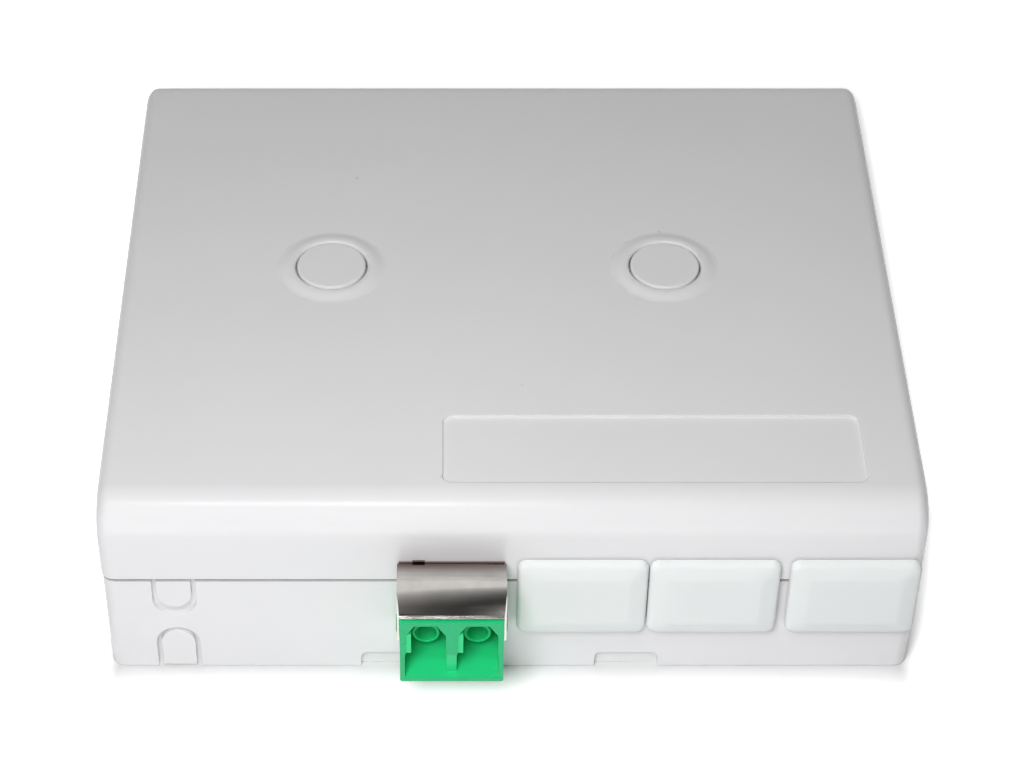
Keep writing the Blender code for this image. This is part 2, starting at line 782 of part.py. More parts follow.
def make_screw(name, centre, seat, radius, length):
    """A cross-head screw that stands on a seat, with its origin under its head."""
    head = radius * HEAD_RATIO
    height = radius * HEAD_HEIGHT_RATIO
    profile = [(head * share, height * level) for share, level in HEAD_DOME]
    profile += [(radius, 0.0), (radius, -length + radius), (radius * TIP_RATIO, -length), (0.0, -length)]
    screw = turned(name, profile, (0.0, 0.0, 0.0), FINE_STEPS)
    arm = head * RECESS_REACH_RATIO
    half = radius * RECESS_RATIO / 2
    deep = height * RECESS_FLOOR_RATIO
    for axis, reach in (("across", (arm, half)), ("along", (half, arm))):
        slot = block(f"{name}_{axis}", (-reach[0], -reach[1], deep), (*reach, height + OVERRUN))
        slot.parent = screw
        cut(screw, slot)
    screw.location = (*centre, seat + SEAT_GAP)
    return finish(screw, screw_steel())


def adapter_gap():
    """The gap under the adapter in its window."""
    return FIT / 2


def adapter_bottom():
    return WINDOW_BOTTOM + adapter_gap()


def adapter_top():
    return adapter_bottom() + ADAPTER_HEIGHT


def adapter_block(name, start, end):
    """The adapter's outer form between two places along Y, with softened edges."""
    half = ADAPTER_WIDTH / 2
    centre = window_x(0)
    low = (centre - half, adapter_bottom())
    high = (centre + half, adapter_top())
    return prism(name, rounded_rectangle(low, high, ADAPTER_EDGE_BEVEL, 1), "Y", start, end)


def adapter_flange(name, start):
    half = (WINDOW_PITCH - GUIDE_WALL) / 2 - FIT
    centre = window_x(0)
    return block(
        name,
        (centre - half, start, adapter_bottom() - FLANGE_RISE),
        (centre + half, start + FLANGE_WALL, adapter_top() + FLANGE_RISE),
    )


def port_centres():
    return {"left": window_x(0) - PORT_PITCH / 2, "right": window_x(0) + PORT_PITCH / 2}


def port_outline(centre):
    """A duplex port's mouth, with its latch slot narrowed at the top and widened below its step."""
    top = adapter_top() - PORT_ROOF
    shoulder = top - PORT_CHAMFER
    step = top - PORT_STEP_DROP
    bottom = adapter_bottom() + PORT_FLOOR
    narrow, wide = PORT_TOP_WIDTH / 2, PORT_WIDTH / 2
    wider = wide + PORT_STEP_WIDTH
    right = [(wider, bottom), (wider, step), (wide, step), (wide, shoulder), (narrow, top)]
    return [(centre + x, z) for x, z in right] + [(centre - x, z) for x, z in reversed(right)]


def ferrule_height():
    return adapter_top() - FERRULE_DROP


def sleeve_bore(name, centre, start, end):
    radius = SLEEVE_RADIUS + SLEEVE_CLEARANCE
    return level_cylinder(name, "Y", (centre, ferrule_height()), radius, start, end, ROUND_STEPS // 2)


def port_tubes(owner, start, end):
    """Tubes that hold the alignment sleeves, standing out from the floors of the ports."""
    tubes = []
    for side, centre in port_centres().items():
        tubes.append(
            level_cylinder(f"{owner}_tube_{side}", "Y", (centre, ferrule_height()), TUBE_RADIUS, start, end)
        )
    return tubes


def port_ribs(face):
    """The key rib on the left wall of each port."""
    ribs = []
    top = adapter_top() - PORT_ROOF
    start = face + PORT_RIB_SETBACK
    for side, centre in port_centres().items():
        left = centre - PORT_WIDTH / 2
        ribs.append(
            block(
                f"port_rib_{side}",
                (left - SINK, start, top - PORT_STEP_DROP),
                (left + PORT_RIB_WIDTH, start + PORT_RIB_LENGTH, top - PORT_CHAMFER),
            )
        )
    return ribs


def pivot_place():
    """The shutter's axis as (y, z)."""
    return FRONT - ADAPTER_REACH + PIVOT_SETBACK, adapter_top() - PIVOT_DROP


def make_adapter_front():
    """The adapter's outer half, from its face to the joint with the inner half."""
    face = FRONT - ADAPTER_REACH
    joint = INNER_FRONT + FIT + FLANGE_WALL
    housing = adapter_block("adapter_front_housing", face, joint)
    join(housing, adapter_flange("front_flange", INNER_FRONT + FIT))
    pivot = pivot_place()
    reach = ADAPTER_WIDTH / 2 + PIVOT_LENGTH
    join(
        housing,
        level_cylinder("pivot_boss", "X", pivot, PIVOT_RADIUS, window_x(0) - reach, window_x(0) + reach),
    )
    for side, centre in port_centres().items():
        cut(housing, prism(f"front_port_{side}", port_outline(centre), "Y", face - OVERRUN, face + PORT_DEPTH))
    half = PORT_PITCH - PORT_WIDTH
    step = adapter_top() - PORT_ROOF - PORT_STEP_DROP
    cut(
        housing,
        block(
            "divider_cut",
            (window_x(0) - half, face - OVERRUN, adapter_bottom() + PORT_FLOOR),
            (window_x(0) + half, face + DIVIDER_SETBACK, step),
        ),
    )
    join(housing, *port_ribs(face))
    tube_start = face + PORT_DEPTH - TUBE_LENGTH
    join(housing, *port_tubes("front", tube_start, face + PORT_DEPTH + SINK))
    for side, centre in port_centres().items():
        cut(housing, sleeve_bore(f"front_bore_{side}", centre, tube_start - OVERRUN, joint + OVERRUN))
    return finish(housing, green_plastic())


def make_adapter_rear():
    """The adapter's inner half, with the ports that take the pigtails."""
    joint = INNER_FRONT + 2 * FIT + FLANGE_WALL
    end = joint + FLANGE_WALL + ADAPTER_REAR_LENGTH
    housing = adapter_block("adapter_rear_housing", joint, end)
    join(housing, adapter_flange("rear_flange", joint))
    floor = end - PORT_DEPTH
    for side, centre in port_centres().items():
        cut(housing, prism(f"rear_port_{side}", port_outline(centre), "Y", floor, end + OVERRUN))
    join(housing, *port_tubes("rear", floor - SINK, floor + TUBE_LENGTH))
    for side, centre in port_centres().items():
        cut(housing, sleeve_bore(f"rear_bore_{side}", centre, joint - OVERRUN, floor + TUBE_LENGTH + OVERRUN))
    return finish(housing, green_plastic())


def make_alignment_sleeve(side, centre):
    """The slit ceramic sleeve that lines up two ferrules across the adapter's joint."""
    joint = INNER_FRONT + 1.5 * FIT + FLANGE_WALL
    start, end = joint - SLEEVE_LENGTH / 2, joint + SLEEVE_LENGTH / 2
    middle = (centre, ferrule_height())
    sleeve = level_cylinder(f"alignment_sleeve_{side}", "Y", middle, SLEEVE_RADIUS, start, end)
    cut(sleeve, level_cylinder(f"ferrule_bore_{side}", "Y", middle, SLEEVE_BORE, start - OVERRUN, end + OVERRUN))
    half = SLEEVE_SLIT / 2
    slit = block(
        f"sleeve_slit_{side}",
        (centre - half, start - OVERRUN, middle[1]),
        (centre + half, end + OVERRUN, middle[1] + SLEEVE_RADIUS + OVERRUN),
    )
    cut(sleeve, slit)
    return finish(sleeve, material("zirconia", (0.86, 0.85, 0.82), 0.25))


def shutter_sheet_outline():
    """The curved sheet's section as (y, z) points from the axis."""
    rear = 90 - math.degrees(SHUTTER_REAR_ANGLE)
    front = 90 + math.degrees(SHUTTER_FRONT_ANGLE)
    inside = SHUTTER_RADIUS - SHUTTER_SHEET
    steps = 3 * ARC_STEPS
    return arc((0, 0), SHUTTER_RADIUS, rear, front, steps) + arc((0, 0), inside, front, rear, steps)


def shutter_ear_outline():
    """A sector that joins the sheet to its hub, as (y, z) points from the axis."""
    rear = 90 - math.degrees(SHUTTER_REAR_ANGLE)
    front = 90 + math.degrees(SHUTTER_FRONT_ANGLE)
    middle = SHUTTER_RADIUS - SHUTTER_SHEET / 2
    hub_start, hub_end = front + SHUTTER_EAR_TAPER, rear + 360 - SHUTTER_EAR_TAPER
    hub = arc((0, 0), SHUTTER_HUB_RADIUS, hub_start, hub_end, 2 * ARC_STEPS)
    return arc((0, 0), middle, rear, front, 3 * ARC_STEPS) + hub


def make_shutter():
    """The steel visor. Its origin is on its pivots' axis, and it turns forward about +X."""
    half = ADAPTER_WIDTH / 2 + SHUTTER_SIDE_GAP + SHUTTER_SHEET
    shutter = prism("shutter", shutter_sheet_outline(), "X", -half, half)
    for side in (-1, 1):
        outer, inner = side * half, side * (half - SHUTTER_SHEET)
        ear = prism(f"shutter_ear_{side}", shutter_ear_outline(), "X", min(outer, inner), max(outer, inner))
        ear.parent = shutter
        join(shutter, ear)
    rear_y = (SHUTTER_RADIUS - SHUTTER_SHEET / 2) * math.sin(SHUTTER_REAR_ANGLE)
    rear_z = (SHUTTER_RADIUS - SHUTTER_SHEET / 2) * math.cos(SHUTTER_REAR_ANGLE)
    tab = block(
        "shutter_tab",
        (SHUTTER_TAB_OFFSET - SHUTTER_TAB_WIDTH / 2, rear_y - SHUTTER_SHEET, rear_z - SHUTTER_SHEET / 4),
        (SHUTTER_TAB_OFFSET + SHUTTER_TAB_WIDTH / 2, rear_y, rear_z + SHUTTER_TAB_HEIGHT),
    )
    tab.parent = shutter
    join(shutter, tab)
    hole = PIVOT_RADIUS + SHUTTER_HUB_GAP
    bore = level_cylinder("shutter_bore", "X", (0, 0), hole, -half - OVERRUN, half + OVERRUN)
    bore.parent = shutter
    cut(shutter, bore)
    shutter.location = (window_x(0), *pivot_place())
    return finish(shutter, spring_steel())


def blank_face():
    """The pillow-shaped front of a blank cap, from its rim over a shoulder to its flat middle."""
    front = BLANK_PROTRUSION - BLANK_SEAT_GAP
    half_width = WINDOW_WIDTH / 2 + BLANK_SIDE_COVER
    bottom = WINDOW_BOTTOM - BLANK_BOTTOM_COVER
    top = WINDOW_TOP + BLANK_TOP_COVER
    share, lift = BLANK_SHOULDER
    shoulder = (BLANK_BORDER * share, -BLANK_RIM - (front - BLANK_RIM) * lift)
    levels = ((0.0, 0.0), (0.0, -BLANK_RIM), shoulder, (BLANK_BORDER, -front))
    shape = bmesh.new()
    rings = []
    for inset, level in levels:
        low = (-half_width + inset, bottom + inset)
        high = (half_width - inset, top - inset)
        outline = rounded_rectangle(low, high, BLANK_CORNER)
        rings.append([shape.verts.new(place("Y", u, v, level)) for u, v in outline])
    for ring, following in zip(rings, rings[1:]):
        count = len(ring)
        for index in range(count):
            after = (index + 1) % count
            shape.faces.new((ring[index], ring[after], following[after], following[index]))
    shape.faces.new(rings[0])
    shape.faces.new(rings[-1])
    bmesh.ops.recalc_face_normals(shape, faces=shape.faces)
    return shape


def make_blank_cap(number, play):
    """A cap that plugs an unused window. Its origin is at the window, and it pulls out along -Y."""
    cap = new_object(f"blank_cap_{number}", blank_face())
    half_width = WINDOW_WIDTH / 2 - BLANK_SKIRT_PLAY
    low, high = WINDOW_BOTTOM + BLANK_SKIRT_GAP, WINDOW_TOP - BLANK_SKIRT_GAP
    skirt = block(f"skirt_{number}", (-half_width, -SINK, low), (half_width, BLANK_SKIRT_LENGTH, high))
    inside = block(
        f"skirt_inside_{number}",
        (-half_width + BLANK_SKIRT_WALL, -BLANK_RIM / 2, low + BLANK_SKIRT_WALL),
        (half_width - BLANK_SKIRT_WALL, BLANK_SKIRT_LENGTH + OVERRUN, high - BLANK_SKIRT_WALL),
    )
    skirt.parent = cap
    inside.parent = cap
    join(cap, skirt)
    cut(cap, inside)
    cap.location = (window_x(number) + play, FRONT - BLANK_SEAT_GAP, 0.0)
    return finish(cap, cap_plastic())


def tray_outline(inset):
    half = TRAY_WIDTH / 2 - inset
    low = (POST_CENTRE_X - half, TRAY_FRONT_Y + inset)
    high = (POST_CENTRE_X + half, TRAY_REAR_Y - inset)
    return rounded_rectangle(low, high, TRAY_CORNER - inset, ARC_STEPS)


def tray_tabs():
    """Tabs that keep the fibre coils down, round the drums and along the rear wall."""
    low, high = TRAY_RIM_HEIGHT - TAB_WALL, TRAY_RIM_HEIGHT - SINK
    half = TAB_WIDTH / 2
    tabs = []
    for side, centre in post_centres().items():
        for end in (-1, 1):
            edge = centre[1] + end * (DRUM_RADIUS - DRUM_WALL / 2)
            tip = centre[1] + end * (DRUM_RADIUS + TAB_REACH)
            tabs.append(
                block(
                    f"drum_tab_{side}_{end}",
                    (centre[0] - half, min(edge, tip), low),
                    (centre[0] + half, max(edge, tip), high),
                )
            )
    rear = TRAY_REAR_Y - TRAY_WALL / 2
    tabs.append(
        block(
            "rear_tab",
            (POST_CENTRE_X - half, rear - TRAY_WALL / 2 - TAB_REACH, low),
            (POST_CENTRE_X + half, rear, high),
        )
    )
    return tabs


def tray_cutters():
    """The ports in the front wall, the holes for the screws and the space inside the drums."""
    cutters = []
    floor_top = TRAY_UNDERSIDE + TRAY_FLOOR
    half = TRAY_PORT_WIDTH / 2
    for side in (-1, 1):
        centre = POST_CENTRE_X + side * TRAY_PORT_X
        cutters.append(
            block(
                f"tray_port_{side}",
                (centre - half, TRAY_FRONT_Y - OVERRUN, floor_top),
                (centre + half, TRAY_FRONT_Y + TRAY_WALL + OVERRUN, TRAY_RIM_HEIGHT + OVERRUN),
            )
        )
    for side, centre in post_centres().items():
        low, high = TRAY_UNDERSIDE - OVERRUN, TRAY_RIM_HEIGHT + OVERRUN
        cutters.append(cylinder(f"drum_inside_{side}", centre, DRUM_RADIUS - DRUM_WALL, low, high))
    for side, centre in tray_screw_centres().items():
        radius = SMALL_SCREW_RADIUS + SCREW_CLEARANCE
        low, high = TRAY_UNDERSIDE - OVERRUN, floor_top + OVERRUN
        cutters.append(cylinder(f"tray_hole_{side}", centre, radius, low, high, FINE_STEPS))
    return cutters


def make_fibre_tray():
    tray = prism("fibre_tray", tray_outline(0.0), "Z", TRAY_UNDERSIDE, TRAY_RIM_HEIGHT)
    floor_top = TRAY_UNDERSIDE + TRAY_FLOOR
    cut(tray, prism("tray_inside", tray_outline(TRAY_WALL), "Z", floor_top, TRAY_RIM_HEIGHT + OVERRUN))
    for side, centre in post_centres().items():
        join(tray, cylinder(f"drum_{side}", centre, DRUM_RADIUS, floor_top - SINK, TRAY_RIM_HEIGHT))
    join(tray, *tray_tabs())
    cut(tray, *tray_cutters())
    return finish(tray, tray_plastic())


def make_splice_comb():
    """The soft holder whose grooves take the splice protectors, along Y between the drums."""
    low = TRAY_UNDERSIDE + TRAY_FLOOR + FIT / 2
    top = low + COMB_HEIGHT
    half = COMB_WIDTH / 2
    outline = [(POST_CENTRE_X - half, low), (POST_CENTRE_X + half, low), (POST_CENTRE_X + half, top)]
    for index in reversed(range(COMB_GROOVES)):
        centre = POST_CENTRE_X + (index - (COMB_GROOVES - 1) / 2) * COMB_GROOVE_PITCH
        outline += arc((centre, top), COMB_GROOVE_RADIUS, 0, -180, ARC_STEPS)
    outline.append((POST_CENTRE_X - half, top))
    comb = prism("splice_comb", outline, "Y", POST_Y - COMB_LENGTH / 2, POST_Y + COMB_LENGTH / 2)
    return finish(comb, material("comb_rubber", (0.05, 0.05, 0.055), 0.75))


def make_cable_clamp():
    """The strap over the incoming cable, arched on its underside."""
    half = CLAMP_SCREW_SPACING / 2 + CLAMP_END
    top = CLAMP_HEIGHT + CLAMP_WALL
    rise = KNOCKOUT_RADIUS * CLAMP_ARCH_RATIO
    arch = arc((KNOCKOUT_X, CLAMP_HEIGHT + rise - KNOCKOUT_RADIUS), KNOCKOUT_RADIUS, 150, 30, ARC_STEPS)
    outline = [(KNOCKOUT_X - half, CLAMP_HEIGHT)] + arch + [(KNOCKOUT_X + half, CLAMP_HEIGHT)]
    outline += [(KNOCKOUT_X + half, top), (KNOCKOUT_X - half, top)]
    clamp = prism("cable_clamp", outline, "Y", CLAMP_Y - CLAMP_LENGTH / 2, CLAMP_Y + CLAMP_LENGTH / 2)
    for side, centre in clamp_screw_centres().items():
        radius = SMALL_SCREW_RADIUS + SCREW_CLEARANCE
        low, high = CLAMP_HEIGHT - OVERRUN, top + OVERRUN
        cut(clamp, cylinder(f"clamp_hole_{side}", centre, radius, low, high, FINE_STEPS))
    return finish(clamp, tray_plastic())


def make_screws():
    for side, centre in post_centres().items():
        make_screw(f"cover_screw_{side}", centre, SCREW_SEAT_HEIGHT, COVER_SCREW_RADIUS, COVER_SCREW_LENGTH)
    tray_seat = TRAY_UNDERSIDE + TRAY_FLOOR
    tray_screw_length = tray_seat - FLOOR
    for side, centre in tray_screw_centres().items():
        make_screw(f"tray_screw_{side}", centre, tray_seat, SMALL_SCREW_RADIUS, tray_screw_length)
    clamp_seat = CLAMP_HEIGHT + CLAMP_WALL
    for side, centre in clamp_screw_centres().items():
        make_screw(f"clamp_screw_{side}", centre, clamp_seat, SMALL_SCREW_RADIUS, SMALL_SCREW_LENGTH)


def main():
    clear_scene()
    make_base()
    make_cover()
    for side, centre in post_centres().items():
        make_screw_cap(side, centre)
    make_screws()
    make_adapter_front()
    make_adapter_rear()
    for side, centre in port_centres().items():
        make_alignment_sleeve(side, centre)
    make_shutter()
    for number, play in enumerate(BLANK_PLAY, start=1):
        make_blank_cap(number, play)
    make_fibre_tray()
    make_splice_comb()
    make_cable_clamp()


main()
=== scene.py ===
"""Dresses the fibre termination box: its shells, caps, adapter and shutter, their finishes and the studio."""

import logging
import math
from collections.abc import Callable, Iterable
from dataclasses import dataclass, field
from enum import Enum

import bmesh
import bpy
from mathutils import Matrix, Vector


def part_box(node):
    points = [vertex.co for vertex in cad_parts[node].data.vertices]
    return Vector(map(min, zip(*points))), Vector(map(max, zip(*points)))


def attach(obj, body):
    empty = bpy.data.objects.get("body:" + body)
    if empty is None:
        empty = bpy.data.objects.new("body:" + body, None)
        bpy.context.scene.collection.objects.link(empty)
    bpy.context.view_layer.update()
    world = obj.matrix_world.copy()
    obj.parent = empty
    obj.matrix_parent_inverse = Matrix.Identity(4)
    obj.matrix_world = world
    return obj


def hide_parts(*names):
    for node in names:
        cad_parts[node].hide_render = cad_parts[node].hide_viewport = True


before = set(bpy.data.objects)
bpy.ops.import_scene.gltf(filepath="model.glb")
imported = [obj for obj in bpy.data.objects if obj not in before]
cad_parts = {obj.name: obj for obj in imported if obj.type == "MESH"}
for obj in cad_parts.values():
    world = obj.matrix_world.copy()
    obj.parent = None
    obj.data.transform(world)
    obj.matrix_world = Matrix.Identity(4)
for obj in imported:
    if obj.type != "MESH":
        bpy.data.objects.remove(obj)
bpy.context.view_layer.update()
LOG = logging.getLogger("termination_box")

Object = bpy.types.Object
Socket = bpy.types.NodeSocket
Point = tuple[float, float, float]
Outline = list[tuple[float, float]]

MM = 0.001
OVERRUN = 1.0 * MM
NEAR = 0.02 * MM
BLACK = (0.0, 0.0, 0.0, 1.0)
WHITE = (1.0, 1.0, 1.0, 1.0)
MIX_FIRST, MIX_SECOND, MIX_RESULT = 6, 7, 2


class Body(Enum):
    """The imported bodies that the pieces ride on."""

    HOUSING = "housing"
    SHUTTER = "shutter"
    BLANK_1 = "blank_cap_1"
    BLANK_2 = "blank_cap_2"
    BLANK_3 = "blank_cap_3"
    SCREW_CAP_LEFT = "screw_cap_left"
    SCREW_CAP_RIGHT = "screw_cap_right"


class Slot(Enum):
    """The record's material slots."""

    CASE = "case_plastic"
    CAP = "cap_plastic"
    ADAPTER = "adapter_plastic"
    SHUTTER = "shutter_steel"
    SCREW = "screw_steel"
    SLEEVE = "sleeve_ceramic"
    TRAY = "tray_plastic"
    COMB = "comb_rubber"


class Axis(Enum):
    """The row's axes, each with the turn that brings an upright primitive onto it."""

    X = (0.0, math.pi / 2, 0.0)
    Y = (-math.pi / 2, 0.0, 0.0)
    Z = (0.0, 0.0, 0.0)


class Pick(Enum):
    """What edit mode selects."""

    VERTICES = "VERT"
    EDGES = "EDGE"
    FACES = "FACE"


@dataclass(frozen=True)
class Extent:
    """A node's box at rest, from its lowest to its highest corner."""

    low: Vector
    high: Vector

    @classmethod
    def of(cls, node: str) -> "Extent":
        """Reads a node's box from the imported model."""
        low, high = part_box(node)
        return cls(Vector(low), Vector(high))

    @property
    def centre(self) -> Vector:
        """The middle of the box."""
        return (self.low + self.high) / 2

    @property
    def size(self) -> Vector:
        """The sides of the box."""
        return self.high - self.low


class Bench:
    """The modelling steps that every piece is made with, each one an operator of Blender's own."""

    @staticmethod
    def deselect() -> None:
        bpy.ops.object.select_all(action="DESELECT")

    @staticmethod
    def hold(piece: Object) -> None:
        """Makes one piece the only selected and active one."""
        Bench.deselect()
        piece.select_set(True)
        bpy.context.view_layer.objects.active = piece

    @staticmethod
    def settle(piece: Object) -> Object:
        """Puts a piece's place, turn and scale into its mesh."""
        Bench.hold(piece)
        bpy.ops.object.transform_apply(location=True, rotation=True, scale=True)
        return piece

    @staticmethod
    def fresh(name: str) -> Object:
        """Names the object that an operator has just added."""
        piece = bpy.context.object
        piece.name = piece.data.name = name
        return piece

    @staticmethod
    def block(name: str, low: Iterable[float], high: Iterable[float]) -> Object:
        """Adds a box.

        Args:
            name: The piece's name.
            low: Its lowest corner.
            high: Its highest corner.

        Returns:
            The box, with its place in its mesh.
        """
        low, high = Vector(low), Vector(high)
        Bench.deselect()
        bpy.ops.mesh.primitive_cube_add(size=1.0, location=(low + high) / 2)
        piece = Bench.fresh(name)
        piece.scale = high - low
        return Bench.settle(piece)

    @staticmethod
    def rod(name: str, axis: Axis, centre: Iterable[float], radius: float, length: float, sides: int = 64) -> Object:
        """Adds a cylinder.

        Args:
            name: The piece's name.
            axis: The axis it lies along.
            centre: Its middle.
            radius: Its radius.
            length: Its length along the axis.
            sides: How many sides it has.

        Returns:
            The cylinder, with its place in its mesh.
        """
        Bench.deselect()
        bpy.ops.mesh.primitive_cylinder_add(
            vertices=sides, radius=radius, depth=length, location=Vector(centre), rotation=axis.value
        )
        return Bench.settle(Bench.fresh(name))

    @staticmethod
    def pick(piece: Object, kind: Pick, test: Callable) -> int:
        """Opens edit mode with only the matching parts selected.

        Args:
            piece: The piece to edit.
            kind: Whether vertices, edges or faces are tested.
            test: Says of one vertex, edge or face whether it is taken.

        Returns:
            How many were taken.
        """
        Bench.hold(piece)
        bpy.ops.object.mode_set(mode="EDIT")
        bpy.ops.mesh.select_mode(type=kind.value)
        bpy.ops.mesh.select_all(action="DESELECT")
        shape = bmesh.from_edit_mesh(piece.data)
        parts = {Pick.VERTICES: shape.verts, Pick.EDGES: shape.edges, Pick.FACES: shape.faces}[kind]
        taken = [part for part in parts if test(part)]
        for part in taken:
            part.select_set(True)
        shape.select_flush(True)
        bmesh.update_edit_mesh(piece.data)
        return len(taken)

    @staticmethod
    def leave() -> None:
        """Goes back to object mode."""
        bpy.ops.object.mode_set(mode="OBJECT")

    @staticmethod
    def bevel(piece: Object, test: Callable, width: float, segments: int) -> None:
        """Rounds the edges that a test takes.

        Args:
            piece: The piece to round.
            test: Says of an edge whether it is rounded.
            width: The radius of the rounding.
            segments: How many facets it gets.
        """
        if Bench.pick(piece, Pick.EDGES, test):
            bpy.ops.mesh.bevel(offset=width, segments=segments, profile=0.5, affect="EDGES", clamp_overlap=False)
        Bench.leave()

    @staticmethod
    def modify(piece: Object, kind: str, **settings: object) -> None:
        """Adds a modifier with its settings and applies it."""
        Bench.hold(piece)
        step = piece.modifiers.new(kind.title(), kind)
        for key, value in settings.items():
            setattr(step, key, value)
        bpy.ops.object.modifier_apply(modifier=step.name)

    @staticmethod
    def combine(piece: Object, tools: Iterable[Object], operation: str) -> None:
        """Cuts or joins other shapes with a piece, and removes them."""
        for tool in tools:
            Bench.modify(piece, "BOOLEAN", object=tool, operation=operation, solver="MANIFOLD")
            bpy.data.objects.remove(tool, do_unlink=True)

    @staticmethod
    def cut(piece: Object, *tools: Object) -> None:
        """Cuts shapes out of a piece."""
        Bench.combine(piece, tools, "DIFFERENCE")

    @staticmethod
    def join(piece: Object, *tools: Object) -> None:
        """Joins shapes to a piece."""
        Bench.combine(piece, tools, "UNION")

    @staticmethod
    def soften(piece: Object, width: float, segments: int = 2, angle: float = 32.0) -> None:
        """Breaks the sharp edges of a piece with a small radius."""
        Bench.modify(
            piece,
            "BEVEL",
            width=width,
            segments=segments,
            limit_method="ANGLE",
            angle_limit=math.radians(angle),
            miter_outer="MITER_ARC",
            harden_normals=False,
        )

    @staticmethod
    def merge(piece: Object, angle: float = 0.5) -> None:
        """Merges a copied node's loose triangles and dissolves its flat seams."""
        Bench.pick(piece, Pick.VERTICES, lambda vertex: True)
        bpy.ops.mesh.remove_doubles(threshold=0.002 * MM)
        bpy.ops.mesh.dissolve_limited(angle_limit=math.radians(angle))
        Bench.leave()

    @staticmethod
    def shade(piece: Object, angle: float = 35.0) -> None:
        """Shades a piece smooth, with its sharp edges kept and its flats held flat."""
        Bench.hold(piece)
        bpy.ops.object.shade_smooth_by_angle(angle=math.radians(angle))
        Bench.modify(piece, "WEIGHTED_NORMAL", keep_sharp=True, weight=60)


def stacked(name: str, outline: Outline, axis: Axis, start: float, steps: Outline) -> Object:
    """Makes a solid from an outline that is carried along an axis and drawn in on its way.

    Args:
        name: The piece's name.
        outline: Corners as (x, y) for Z, (x, z) for Y and (y, z) for X.
        axis: The axis the outline is carried along.
        start: Where it starts on that axis.
        steps: Pairs of how far it has come and how far in it is by then.

    Returns:
        The closed solid.
    """
    Bench.deselect()
    bpy.ops.mesh.primitive_plane_add(size=1.0)
    piece = Bench.fresh(name)
    bpy.ops.object.mode_set(mode="EDIT")
    shape = bmesh.from_edit_mesh(piece.data)
    bmesh.ops.delete(shape, geom=shape.verts[:], context="VERTS")
    place = {
        Axis.X: lambda u, v, w: (w, u, v),
        Axis.Y: lambda u, v, w: (u, w, v),
        Axis.Z: lambda u, v, w: (u, v, w),
    }[axis]
    face = shape.faces.new([shape.verts.new(place(u, v, start)) for u, v in outline])
    face.select_set(True)
    bmesh.update_edit_mesh(piece.data)
    lows, highs = ([pick(side) for side in zip(*outline)] for pick in (min, max))
    middle = [(low + high) / 2 for low, high in zip(lows, highs)]
    half = [(high - low) / 2 for low, high in zip(lows, highs)]
    come, inset = 0.0, 0.0
    for reach, drawn in steps:
        bpy.ops.mesh.extrude_region_move(TRANSFORM_OT_translate={"value": place(0.0, 0.0, reach - come)})
        shrink = [(side - drawn) / (side - inset) for side in half]
        bpy.ops.transform.resize(value=place(*shrink, 1.0), center_override=place(*middle, start + reach))
        come, inset = reach, drawn
    bpy.ops.mesh.select_all(action="SELECT")
    bpy.ops.mesh.normals_make_consistent(inside=False)
    Bench.leave()
    return piece


def drawn_outline(name: str, outline: Outline, axis: Axis, start: float, end: float) -> Object:
    """Makes a straight solid from an outline, between two places on an axis."""
    return stacked(name, outline, axis, start, [(end - start, 0.0)])


def arc(centre: tuple[float, float], radius: float, start: float, end: float, steps: int) -> Outline:
    """Points along an arc between two angles in degrees, both ends included."""
    angles = [math.radians(start + (end - start) * step / steps) for step in range(steps + 1)]
    return [(centre[0] + radius * math.cos(turn), centre[1] + radius * math.sin(turn)) for turn in angles]


def rounded(low: tuple[float, float], high: tuple[float, float], radius: float, steps: int = 8) -> Outline:
    """The outline of a rectangle with round corners."""
    left, bottom = low[0] + radius, low[1] + radius
    right, top = high[0] - radius, high[1] - radius
    return (
        arc((right, bottom), radius, -90, 0, steps)
        + arc((right, top), radius, 0, 90, steps)
        + arc((left, top), radius, 90, 180, steps)
        + arc((left, bottom), radius, 180, 270, steps)
    )


class Graph:
    """A node tree, and the ways its nodes are added and joined."""

    def __init__(self, tree: bpy.types.NodeTree) -> None:
        """Keeps the tree that the nodes are added to."""
        self.tree = tree

    def add(self, kind: str, **settings: object) -> bpy.types.Node:
        """Adds a node with its settings."""
        node = self.tree.nodes.new(kind)
        for key, value in settings.items():
            setattr(node, key, value)
        return node

    def link(self, source: Socket, target: Socket) -> None:
        """Joins two sockets."""
        self.tree.links.new(source, target)

    def feed(self, target: Socket, value: Socket | Point | float) -> None:
        """Joins a socket to an input, or sets the input to a plain colour or number."""
        if isinstance(value, tuple):
            target.default_value = (*value, 1.0)
        elif isinstance(value, (int, float)):
            target.default_value = value
        else:
            self.link(value, target)

    def compute(self, operation: str, *terms: Socket | float) -> Socket:
        """Works out one step of arithmetic on sockets and plain numbers."""
        node = self.add("ShaderNodeMath", operation=operation)
        for target, term in zip(node.inputs, terms):
            self.feed(target, term)
        return node.outputs[0]

    def shown(self) -> Socket:
        """One for rays of the camera, of reflections and through clear pieces, and nought for the rest."""
        rays = self.add("ShaderNodeLightPath").outputs
        seen = self.compute("MAXIMUM", rays["Is Camera Ray"], rays["Is Glossy Ray"])
        return self.compute("MAXIMUM", seen, rays["Is Transmission Ray"])


